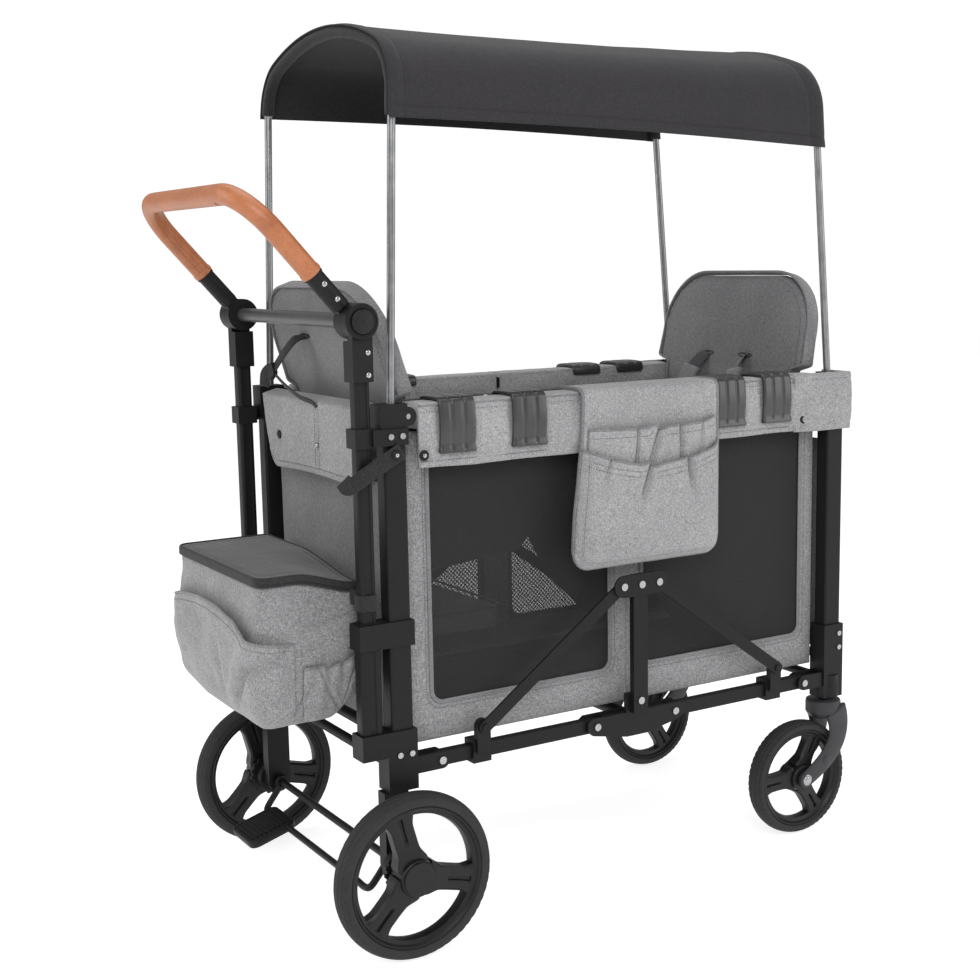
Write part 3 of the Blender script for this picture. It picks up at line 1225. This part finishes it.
for f, nm, nu, nv, size, rows in ((upper_pocket, "organiser_pockets", 220, 50, (0.33, 0.117), (0.11,)),
                                  (lower_pocket, "organiser_pouch", 240, 100, (0.36, 0.185), (0.07, 0.12))):
    soft_tub(outward(thicken(sheet_grid(nm, nu, nv, f, "heather_light"), 1.8, 0)), flat=size, held="gathered",
             rests_on=["organiser_back"])
    soft_tub(tube(nm + "_hem", on_pocket(f, 0.2, (0, 1, 1, 1, 150)), "piping", profile=box_profile(1.9, 1.6, 1.2, 2),
                  up=(0, 0, 1)))
    for k, d in enumerate(rows):
        row = on_pocket(f, 1.3, (0.01, 0.99, 1 - d, 1 - d, 150))
        soft_tub(stitches("%s_stitch_%d" % (nm, k), row, pitch=4.4, length=3.1, r=0.42))
border = on_pocket(organiser_back, 0, (0, 0, 0.98, 0.12, 60), (0, 1, 0, 0, 90), (1, 1, 0.12, 0.98, 60))
soft_tub(tube("organiser_binding", border, "piping", profile=box_profile(3.0, 2.6, 1.6, 3), up=(1, 0, 0)))
row = on_pocket(lower_pocket, 1.4, (0.032, 0.032, 0.97, 0.1, 40), (0.06, 0.94, 0.055, 0.055, 60),
                (0.968, 0.968, 0.1, 0.97, 40))
soft_tub(stitches("organiser_border_stitch", row, pitch=4.4, length=3.1, r=0.42))

# ------------------------------------------------------------ storage bag

BAG0 = (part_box("bag_lid")[0].x - REAR_X) * 1000
BAG1 = -33.0
BAG_Y = 165.0
BAG_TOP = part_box("bag_lid")[0].z * 1000 - 0.4


def bag_ring(s):
    """A point around the bag seen from above, and its outward direction. s goes from the far front corner back
    along the far side, across the rear, and forward along the near side."""
    r = 14.0
    deep, wide = BAG1 - BAG0, 2 * BAG_Y
    straights = [(BAG1 - r, BAG_Y, -1, 0, deep - 2 * r), (BAG0, BAG_Y - r, 0, -1, wide - 2 * r),
                 (BAG0 + r, -BAG_Y, 1, 0, deep - 2 * r), (BAG1, -BAG_Y + r, 0, 1, wide - 2 * r)]
    centres = [(BAG0 + r, BAG_Y - r, 90), (BAG0 + r, -BAG_Y + r, 180), (BAG1 - r, -BAG_Y + r, 270),
               (BAG1 - r, BAG_Y - r, 0)]
    arc = r * pi / 2
    total = sum(q[4] for q in straights) + 4 * arc
    at = (s % 1.0) * total
    for (x, y, dx, dy, n), (cx, cy, a0) in zip(straights, centres):
        if at <= n:
            return x + dx * at, y + dy * at, (dy if dy else 0) * 1.0, (1.0 if dx < 0 else -1.0) if dx else 0.0
        at -= n
        if at <= arc:
            a = radians(a0 + 90 * at / arc)
            return cx + r * cos(a), cy + r * sin(a), cos(a), sin(a)
        at -= arc
    return BAG1 - r, BAG_Y, 0.0, 1.0


def lid_sag(x, y):
    return 22 * smooth(-140, -36, x) * smooth(30, -165, y)


def bag_point(s, v, off=0.0):
    x, y, nx, ny = bag_ring(s)
    z1 = BAG_TOP - lid_sag(x, y)
    z0 = 347 + 30 * smooth(-95, -38, x) * smooth(60, -120, y) + 14 * smooth(60, 165, y)
    z = z0 + (z1 - z0) * v
    tuck = 12 * (1 - sqrt(max(0.0, 1 - (1 - min(1.0, v / 0.15)) ** 2)))
    swell = 7 * sin(pi * min(1.0, v * 1.05)) + 2.5
    side = abs(ny)
    w = 4.0 * wrinkle(x, y, z, 0.011, 21) + 2.4 * wrinkle(x, y, z * 1.8, 0.022, 5) + 0.9 * wrinkle(x, y, z, 0.06, 2)
    w *= smooth(0.0, 0.2, v) * smooth(1.0, 0.86, v)
    crease = 0.0
    if ny < -0.5:
        crease -= 5.0 * bump(z - (492 + (x + 110) * 0.16), 0, 5) * bump(x, -95, 45)
        crease -= 5.0 * bump(z - (392 + (x + 125) * 1.3), 0, 6) * bump(x, -128, 26)
    d = off + swell - tuck + w + crease - 3.0 * side * smooth(0.9, 1.0, v)
    return (x + nx * d, y + ny * d, z)


NS, NVB = 260, 72
verts = [bag_point(i / NS, j / (NVB - 1)) for i in range(NS) for j in range(NVB)]
faces = grid_faces(NS, NVB, wrap_u=True)
base = len(verts)
for step, share in enumerate((0.72, 0.4)):
    for i in range(NS):
        x, y, z = bag_point(i / NS, 0.0)
        cx, cy = (BAG0 + BAG1) / 2, 0.0
        verts.append((cx + (x - cx) * share, cy + (y - cy) * share, z - 1.2 * (step + 1)))
for i in range(NS):
    k = (i + 1) % NS
    faces.append((i * NVB, k * NVB, base + k, base + i))
    faces.append((base + i, base + k, base + NS + k, base + NS + i))
faces.append(tuple(base + NS + i for i in range(NS)))
bag = thicken(outward(piece("bag_body", verts, faces, "heather")), 2.0)
wear(bag, "rear_frame", "storage_bag", flat=(0.97, 0.34), area=0.27, held="hung", rests_on=["rear_straps"])


def nearest_s(x, y):
    """The s at which the bag's outline passes closest to a point."""
    return min((i / 400 for i in range(400)), key=lambda s: hypot(bag_ring(s)[0] - x, bag_ring(s)[1] - y))


S_FAR, S_NEAR = nearest_s(BAG0 + 7, BAG_Y - 7), nearest_s(BAG0 + 7, 7 - BAG_Y)
S_FRONT = nearest_s(BAG1 - 7, 7 - BAG_Y)


def rear_pocket(u, v):
    s = S_FAR - 0.012 + (S_NEAR + 0.045 - S_FAR + 0.012) * u
    top = 0.695 + 0.10 * sin(pi * min(1, u * 1.15)) - 0.10 * smooth(0.74, 1.0, u) - 0.03 * smooth(0.2, 0, u)
    vv = 0.015 + (top - 0.015) * v
    open_ = smooth(0, 0.14, u) * smooth(1.0, 0.9, u)
    off = 3.2 + 12 * open_ * v ** 1.3 + 5 * sin(pi * v) * open_
    line = 0.97 - 0.30 * (1 - v)
    off -= 9.0 * bump(u, line, 0.020) * smooth(0.0, 0.25, v) * smooth(1.04, 0.8, v)
    off += 6.0 * bump(u, line - 0.06, 0.045) * smooth(0.0, 0.25, v)
    off -= 3.2 * bump(u, 0.56 + 0.03 * v, 0.02) * smooth(0.05, 0.3, v) * smooth(0.9, 0.6, v)
    x, y, nx, ny = bag_ring(s)
    off += 2.4 * wrinkle(x, y, vv * 220, 0.016, 33) * open_
    return bag_point(s, vv, max(2.6, off))


def near_pocket(u, v):
    s = S_NEAR + 0.06 + (S_FRONT - S_NEAR - 0.068) * u
    wave = sin(u * 24) * smooth(0.1, 0.4, u)
    top = 0.415 + 0.012 * wave + 0.02 * smooth(0.8, 1.0, u)
    vv = 0.02 + (top - 0.02) * v
    off = 3.0 + (4.0 + 3.4 * wave * v ** 2) * smooth(0, 0.1, u) * smooth(1, 0.92, u) * (0.4 + 0.6 * v)
    off += 3.4 * (wrinkle(u * 90, 0, v * 50, 0.05, 41)) * smooth(0, 0.1, u) * smooth(1, 0.9, u)
    off -= 4.5 * bump(u - 0.52 + (v - 0.4) * 0.42, 0, 0.030) * smooth(0.02, 0.2, v)
    off -= 4.0 * bump(u - 0.83 - (v - 0.4) * 0.30, 0, 0.030) * smooth(0.02, 0.2, v)
    return bag_point(s, vv, max(2.4, off))


for f, nm, nu, nv, size in ((rear_pocket, "bag_rear_pocket", 150, 60, (0.47, 0.19)),
                            (near_pocket, "bag_near_pocket", 120, 44, (0.118, 0.088))):
    wear(outward(thicken(sheet_grid(nm, nu, nv, f, "heather"), 1.8, 0)), "rear_frame", flat=size, held="gathered",
         rests_on=["bag_body"])
    tube(nm + "_hem", [Vector(f(u, 1.0)) for u in np.linspace(0, 1, 120)], "piping", "rear_frame",
         profile=box_profile(1.9, 1.9, 1.2, 2), up=(0, 0, 1))
    row = []
    for u in np.linspace(0.01, 0.99, 110):
        s = S_FAR - 0.012 + (S_NEAR + 0.057 - S_FAR) * u if f is rear_pocket else S_NEAR + 0.2
        row.append(Vector(f(u, 0.93)) + Vector((*bag_ring(s)[2:], 0)) * 1.3)
    stitches(nm + "_stitch", row, "rear_frame", r=0.45)

# the lid with its zip border
verts, centre_x = [], (BAG0 + BAG1) / 2
for t in steps(18):
    for i in range(200):
        x, y, nx, ny = bag_ring(i / 200)
        k = 1 - t * 0.94
        x, y = centre_x + (min(x + nx * 3.0, BAG1 - 5) - centre_x) * k, (y + ny * 3.0) * k
        z = BAG_TOP + 13.4 - lid_sag(x, y) + 2.4 * sin(t * pi / 2) + 1.3 * wrinkle(x, y, 0, 0.014, 6) * t
        verts.append((x, y, z - 1.5 * bump(t, 0.115, 0.035)))
faces = grid_faces(18, 200, wrap_v=True) + [tuple(17 * 200 + i for i in range(200))]
wear(thicken(outward(piece("lid_panel", verts, faces, "dark_cloth")), 2.0), "lid", "bag_lid", flat=(0.165, 0.34),
     held="laid", rests_on=["storage_bag"])
edge = []
for i in range(200):
    x, y, nx, ny = bag_ring(i / 200)
    x, y = min(x + nx * 3.6, BAG1 - 4.6), y + ny * 3.6
    edge.append((x, y, BAG_TOP + 7.2 - lid_sag(x, y)))
tube("lid_border", edge, "zip_tape", "lid", closed=True, profile=box_profile(2.4, 6.6, 1.8, 3), up=(0, 0, 1))
tube("lid_zip", [(x, y + (1.6 if y > 0 else -1.6), z - 3.2) for x, y, z in edge], "webbing", "lid", closed=True,
     r=1.7, sides=8, up=(0, 0, 1))
tube("lid_piping", [(x, y, z + 6.8) for x, y, z in edge], "zip_tape", "lid", closed=True, r=1.6, sides=8, up=(0, 0, 1))

# ------------------------------------------------------------ straps of the rear frame

flat_strap("lock_strap", curve([(6, -242.2, 752), (-9, -242.8, 744), (-30, -243, 733), (-60, -241.5, 716),
                                (-78, -238.5, 706), (-88, -240, 716)], 40), "rear_frame", 12.5, 1.1, up=(0, 1, 0))
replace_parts(bpy.data.objects["lock_strap"], "rear_straps")
dome("lock_snap", (-4, -243.6, 746.5), (0, -1, 0), 8, 4.2, "plastic", "rear_frame")
dome("lock_snap_pin", (-4, -247.4, 746.5), (0, -1, 0), 3.0, 1.2, "rivet", "rear_frame")
dome("lock_post", (2, -234, 750), (0, -1, 0), 8, 7.4, "plastic", "rear_frame")
for side, tag in SIDES:
    ring = [(-48 + 13.6 * squarish(cos(a), 0.55), side * (MID + 12.4 * squarish(sin(a), 0.55)), 532) for a in turn(48)]
    link = [(-48, side * y, 532) for y in np.linspace(BAG_Y + 2, MID - 12, 8)]
    band = box_profile(1.1, 12, 0.9, 2)
    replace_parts(tube("bag_loop_" + tag, ring, "webbing", "rear_frame", closed=True, profile=band, up=(0, 0, 1)),
                "rear_straps")
    tube("bag_link_" + tag, link, "webbing", "rear_frame", profile=band, up=(0, 0, 1))

# ------------------------------------------------------------ handle

TILT = radians(48)
HUB = (-50.0, 939.0)


def H(x, y, z):
    """A point in the handle's own frame, x from the hubs to the grip, at the drawn tilt."""
    return (HUB[0] - x * cos(TILT) + z * sin(TILT), y, HUB[1] + x * sin(TILT) + z * cos(TILT))


GRIP = []
leg_y, bend, reach = MID - 10, 70.0, 241.0
for x in np.linspace(92.2, reach - bend, 12):
    GRIP.append((float(x), leg_y))
for a in np.linspace(0, pi / 2, 17)[1:]:
    GRIP.append((reach - bend + bend * sin(a), leg_y - bend + bend * cos(a)))
for y in np.linspace(leg_y - bend, -(leg_y - bend), 26)[1:]:
    GRIP.append((reach, float(y)))
GRIP += [(x, -y) for x, y in reversed(GRIP[:28])]
grip = tube("grip_cover", [H(x, y, 0) for x, y in GRIP], "leather", "handle", r=15.3, sides=32,
            up=(sin(TILT), 0, cos(TILT)))
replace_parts(grip, "handle_grip")
seam = []
for i, (x, y) in enumerate(GRIP[1:-1], 1):
    a, b = GRIP[i - 1], GRIP[i + 1]
    d = Vector((b[0] - a[0], b[1] - a[1])).normalized()
    nx, ny = d.y, -d.x
    if nx * (x - 120) + ny * y > 0:
        nx, ny = -nx, -ny
    g = radians(28)
    seam.append(H(x + nx * 15.3 * cos(g), y + ny * 15.3 * cos(g), -15.3 * sin(g)))
stitches("grip_stitch", seam, "handle", "stitch_leather", pitch=5.5, length=3.8, r=0.6)
for side, tag in SIDES:
    axis = (-cos(TILT), 0, sin(TILT))
    lathe("grip_collar_" + tag, [(13, -1.5), (15.9, -1.0), (16.3, 1.5), (16.3, 5), (15.6, 6.4)], H(92, side * leg_y, 0),
          axis, "leather", "handle", n=36)
    lathe("grip_neck_" + tag, [(10, 0), (10, 33)], H(60, side * leg_y, 0), axis, "dark_steel", "handle", n=28)
    out = (0, side, 0)
    for k, x in enumerate((43, 72)):
        dome("arm_screw_%s_%d" % (tag, k + 1), H(x, side * (leg_y + 13.2), 0), out, 4.2, 2.2, "rivet", "handle")
    lathe("arm_collar_" + tag, [(12, 0), (15.3, 0.4), (15.3, 5.6), (14.4, 6.2)], H(86.5, side * leg_y, 0), axis,
          "plastic", "handle", n=36)
    hub = (HUB[0], side * (MID + 20), HUB[1])
    lathe("hub_ring_" + tag, [(18.6, -1), (25.2, -1), (25.6, 0.4), (24.6, 1.7), (22.4, 2.2), (21.8, 1.2), (19.4, 1.2),
                              (18.6, 0.4)], hub, out, "plastic", "rear_frame", n=64, ring=True)
    lathe("hub_cap_" + tag, [(17.9, -4), (17.9, 2.6), (17.2, 3.8), (15.6, 4.4), (15.0, 3.9), (9, 4.4), (0.4, 4.7)], hub,
          out, "wheel", tag + "_hub_button", n=64)
    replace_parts(bpy.data.objects["hub_cap_" + tag], tag + "_button")
    dome("hub_pin_" + tag, (HUB[0], side * (MID + 24.6), HUB[1]), out, 1.6, 0.8, "plastic", tag + "_hub_button")
    for k, z in enumerate((895, 863)):
        dome("sleeve_rivet_%s_%d" % (tag, k + 1), (-48 + 8, side * (MID + 15), z), out, 4.2, 2.4, "rivet", "rear_frame")


def grooved(w, h, r, groove=1.5, half=2.6):
    """A rounded box outline with a groove along each wide face."""
    out = []
    for sy in (1, -1):
        line = [(-w + r, h), (-half - 3.4, h), (-half - 2.4, h - groove * 0.9), (-half + 0.6, h - groove),
                (half - 0.6, h - groove), (half + 2.4, h - groove * 0.9), (half + 3.4, h), (w - r, h)]
        if sy < 0:
            line = [(-a, -b) for a, b in line]
        out += line
        for k in range(1, 5):
            a = radians(90 - 90 * k / 5)
            out.append(((w - r + r * cos(a)) * sy, (h - r + r * sin(a)) * sy))
        out.append((w * sy, (h - r) * sy))
        out.append((w * sy, -(h - r) * sy))
        for k in range(1, 5):
            a = radians(-90 * k / 5)
            out.append(((w - r + r * cos(a)) * sy, (-h + r + r * sin(a)) * sy))
    return out


for side, tag in SIDES:
    for nm, z0, z1, w, h, r in (("upper", 500, 900, 12, 11, 5), ("lower", 302, 502, 17, 13, 6)):
        o = tube("handle_tube_%s_%s" % (nm, tag), [(-48, side * MID, z) for z in (z0, (z0 + z1) / 2, z1)], "frame",
                 "rear_frame", profile=grooved(w, h, r), up=(0, 1, 0))
        crisp(outward(o), 30)
    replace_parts(o, "handle_tubes")
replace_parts(bpy.data.objects["handle_tube_upper_near"], "handle_tubes")

# ------------------------------------------------------------ wheels

RIM_SHARE, TREAD_TEETH = 0.85, 54


def tyre(name, centre, r, w, body, node_name):
    inner = r * RIM_SHARE
    prof = [(inner, -w / 2 + 2.2), (inner + 1.2, -w / 2 + 0.6), (inner + 3, -w / 2)]
    big = 0.85 * w
    for t in steps(45):
        h = -w / 2 + w * t
        prof.append((r - big + sqrt(big * big - h * h) - 0.25, h))
    prof += [(inner + 3, w / 2), (inner + 1.2, w / 2 - 0.6), (inner, w / 2 - 2.2)]

    def tread(g, rr, h):
        if rr < r - 0.20 * w or rr < inner + 3.2:
            return rr, h
        tooth = (g * TREAD_TEETH / (2 * pi)) % 1.0
        wave = 0.055 * (abs(tooth * 2 - 1) - 0.5)
        deep = max(bump(abs(h), (h0 + wave) * w, 0.75) for h0 in (0.37, 0.16))
        cut = bump(tooth, 0.5, 0.14) * smooth(0.38 * w, 0.44 * w, abs(h))
        return rr - 1.6 * max(deep, cut * 0.8), h
    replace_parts(lathe(name, prof, centre, mat="rubber", body=body, n=432, ring=True, relief=tread, angle=60), node_name)


def mirrored(half):
    """A profile of (radius, distance) points, closed by its own mirror image."""
    return half + [(a, -b) for a, b in half[::-1]]


def rim(name, centre, r, w, phase, body, node_name, out, cap):
    rr = r * RIM_SHARE
    hw = w / 2 - 2.4
    ring = [(rr - 0.1, -hw + 1), (rr - 0.1, hw - 1), (rr - 1.2, hw), (rr - 3.4, hw), (rr - 4.4, hw - 1.2),
            (rr - 6.4, hw - 4), (rr - 12, hw - 6.5), (rr - 14, 0), (rr - 12, -hw + 6.5), (rr - 6.4, -hw + 4),
            (rr - 4.4, -hw + 1.2), (rr - 3.4, -hw), (rr - 1.2, -hw)]
    hub_r, hub_h = r * 0.22, w / 2 + 2
    hub = mirrored([(hub_r * 0.42, -hub_h), (hub_r - 1.5, -hub_h), (hub_r, -hub_h + 1.5), (hub_r + 1.5, -hub_h + 9)])
    objs = [lathe(name + "_ring", ring, centre, mat="wheel", n=120, ring=True, angle=30),
            lathe(name + "_hub", hub, centre, mat="wheel", n=64, ring=True, angle=30)]
    half_t = w / 2 - 7.5
    cross = [-1, -0.94, -0.82, -0.6, -0.4, -0.26, -0.17, -0.1, 0, 0.1, 0.17, 0.26, 0.4, 0.6, 0.82, 0.94, 1]
    for i in range(3):
        g = radians(phase + 120 * i)
        d, t = Vector((cos(g), 0, sin(g))), Vector((-sin(g), 0, cos(g)))
        rows = []
        for s in steps(26):
            at = hub_r * 0.72 + (rr - 7 - hub_r * 0.72) * s
            half = r * (0.145 + 0.06 * smooth(0.3, 0.0, s) + 0.05 * smooth(0.7, 1.0, s))
            deep = 4.4 * smooth(0.40, 0.50, s) * smooth(1.0, 0.93, s)
            thick = half_t + 3.0 * smooth(0.5, 0.0, s)
            rows.append([])
            for sgn in (1, -1):
                for c in cross[::sgn]:
                    h = thick - 2.6 * smooth(0.8, 1.0, abs(c)) ** 2 - deep * smooth(0.20, 0.09, abs(c))
                    rows[-1].append(Vector(centre) + d * at + t * half * c + Vector((0, h * sgn, 0)))
        objs.append(crisp(loft(name + "_spoke", rows, "wheel"), 32))
    if cap:
        objs.append(lathe(name + "_cap", [(r * 0.20, 0), (r * 0.20, 2.4), (r * 0.193, 3), (r * 0.15, 3), (0.4, 2.7)],
                          Vector(centre) + Vector((0, out * hub_h, 0)), (0, out, 0), "wheel", n=64, angle=25))
    wear(joined(name, objs), body, node_name)


def middle(node_name):
    lo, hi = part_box(node_name)
    c = (lo + hi) / 2
    return ((c.x - REAR_X) * 1000, c.y * 1000, c.z * 1000)


for side, tag in SIDES:
    for place, r, w, phase, cap in (("rear", 127.0, 36.0, 105, True), ("front", 102.0, 34.0, 62, False)):
        name = "%s_%s" % (tag, place)
        c = middle(name + "_tyre")
        tyre(name + "_tyre_tread", c, r, w, name + "_wheel", name + "_tyre")
        rim(name + "_wheel_rim", c, r, w, phase, name + "_wheel", name + "_rim", side, cap)
    c = middle(tag + "_rear_tyre")

    def teeth(g, rr, h):
        return (rr + (2.6 if rr > 30 and (g * 18 / (2 * pi)) % 1 < 0.5 else 0), h)
    lathe("brake_disc_" + tag, [(13, 0), (33, 0), (33.6, 0.6), (33.6, 4.4), (33, 5), (13, 5)],
          (c[0], c[1] - side * 20.2, c[2]), (0, -side, 0), "wheel", tag + "_rear_wheel", n=144, relief=teeth, angle=30)
    lathe("leg_boss_" + tag, [(8, 0), (27, 0), (28, 1), (28, 12), (26.4, 13.2), (26.4, 21), (25, 22)],
          (-14, side * (MID + 13), 127), (0, side, 0), "plastic", "rear_frame", n=64)

# ------------------------------------------------------------ forks

FORK_A, FORK_B, FORK_C = (6.0, 218.0), (38.0, 150.0), (-62.0, 102.0)


def fork_mid(u):
    return tuple((1 - u) ** 2 * a + 2 * u * (1 - u) * b + u * u * c for a, b, c in zip(FORK_A, FORK_B, FORK_C))


for side, tag in SIDES:
    cx, cy = END_X - 6, side * MID
    objs = []
    for leg in (-1, 1):
        prof = [(squarish(cos(a), 0.6), squarish(sin(a), 0.75)) for a in turn(28)]
        rows = []
        for u in steps(40):
            d = (Vector(fork_mid(min(1, u + 0.01))) - Vector(fork_mid(max(0, u - 0.01)))).normalized()
            c, half = fork_mid(u), 23.5 - 8.5 * u
            thick = 4.9 - 0.7 * u + 2.2 * smooth(0.25, 0.0, u)
            rows.append([])
            for a, b in prof:
                rib = 1.0 * bump(a, 0, 0.5) * sin(pi * u) if b * leg > 0 else 0
                rows[-1].append((cx + c[0] - d.y * a * half, cy + leg * (25.2 + rib) + b * thick,
                                 c[1] + d.x * a * half))
        objs.append(loft("fork_leg", rows, "fork"))
        objs.append(lathe("fork_eye", [(2, 0), (13.4, 0), (14.4, 1.2), (14.4, 7.0), (13.0, 8.2), (2, 8.2)],
                          (cx - 62, cy + leg * 21.1, 102), (0, leg, 0), "fork", None, n=48))
        bx, bz = fork_mid(0.72)
        objs.append(lathe("fork_boss", [(2, 0), (9.6, 0), (9.2, 1.8), (7.8, 2.6), (2, 2.9)],
                          (cx + bx, cy + leg * 28.6, bz), (0, leg, 0), "fork", None, n=40))
    crown = [(4, -9), (16, -8), (26, -3), (31, 4), (31, 22), (30, 25.6), (27.4, 26.8), (12, 27)]
    objs.append(lathe("fork_crown", crown, (cx, cy, 208), (0, 0, 1), "fork", None, n=72, angle=30))
    objs.append(lathe("fork_stem", [(8, 26), (8, 49)], (cx, cy, 208), (0, 0, 1), "fork", None, n=32))
    wear(joined(tag + "_fork_legs", objs), tag + "_caster", tag + "_fork")
    for leg in (-1, 1):
        where, place = "%s_%s" % (tag, "out" if leg == side else "in"), (cx - 62, cy + leg * 29.1, 102)
        dome("axle_head_" + where, place, (0, leg, 0), 7.6, 4.0, "rivet", tag + "_caster")
        lathe("axle_nut_" + where, [(5, 0), (9.6, 0), (9.6, 1.0), (8.8, 1.4)], (cx - 62, cy + leg * 29.0, 102),
              (0, leg, 0), "rivet", tag + "_caster", n=40)
    lathe("axle_bar_" + tag, [(5, -29), (5, 29)], (cx - 62, cy, 102), (0, 1, 0), "dark_steel", tag + "_caster", n=24)
    lathe("housing_barrel_" + tag, [(21.6, 0), (22.8, 1.2), (22.8, 24), (21, 26.5), (19.4, 27.2)], (END_X, cy, 240.4),
          (0, 0, 1), "plastic", "front_frame", n=64)

# ------------------------------------------------------------ brake

bar = curve([(-17, -201.5, 122), (-33, -201.5, 102), (-45, -199, 87), (-48.5, -186, 82.5), (-48, -160, 83)], 28)[:-1]
bar += [Vector((-48, y, 83)) for y in np.linspace(-160, 160, 12)][:-1]
bar += curve([(-48, 160, 83), (-48.5, 186, 82.5), (-45, 199, 87), (-33, 201.5, 102), (-17, 201.5, 122)], 28)
brake_bar = tube("brake_bar", bar, "dark_steel", "brake", r=5.5, sides=18)
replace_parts(brake_bar, "brake_pedal")
for side, tag in SIDES:
    lathe("brake_eye_" + tag, [(6.2, -3.4), (12, -3.4), (12.6, -2.4), (12.6, 2.4), (12, 3.4), (6.2, 3.4)],
          (-14, side * 201.5, 127), (0, 1, 0), "plastic", "brake", n=48, ring=True)

ring = rounded_rect(-70, 16, -46, 46, 14, 120)
levels = [(0.90, -7.0), (0.975, -6.2), (1.0, -4.2), (1.0, 3.6), (0.985, 5.4), (0.95, 6.6), (0.90, 7.0), (0.86, 6.8),
          (0.85, 5.7), (0.83, 5.6)]
rows = [[(-27 + (x + 27) * share, y * share, h) for x, y in ring] for share, h in levels]
pad_objs = [loft("pad_body", rows, "plastic")]
for k in range(9):
    x = -60 + 8.2 * k
    pad_objs.append(tube("pad_rib", [(x, -34, 6.2), (x, 34, 6.2)], "plastic", profile=box_profile(1.9, 1.0, 0.8, 2),
                         up=(0, 0, 1)))
pad = joined("brake_pad", pad_objs)
SLOPE = radians(-16)


def on_brake(x, y, z):
    return (-48 + x * cos(SLOPE) + z * sin(SLOPE), 146 + y, 83 - x * sin(SLOPE) + z * cos(SLOPE))


wear(crisp(outward(moved(pad, on_brake)), 35), "brake", "brake_pedal")

# ------------------------------------------------------------ small things

for side, tag in SIDES:
    for nm, mat, out, r, h in (("snap", "plastic", 15.0, 8, 3.4), ("snap_pin", "rivet", 18.2, 3, 1.0)):
        dome("sleeve_%s_rear_%s" % (nm, tag), (46, side * (MID + out), 741), (0, side, 0), r, h, mat, "rear_rails")
    lathe("sleeve_snap_front_" + tag, [(3.4, 0), (7.4, 0), (7.4, 2.4), (6, 3.2), (3.4, 2.6)],
          (END_X - 77, side * (MID + 15.4), 742), (0, side, 0), "plastic", "front_rails", n=36, ring=True)
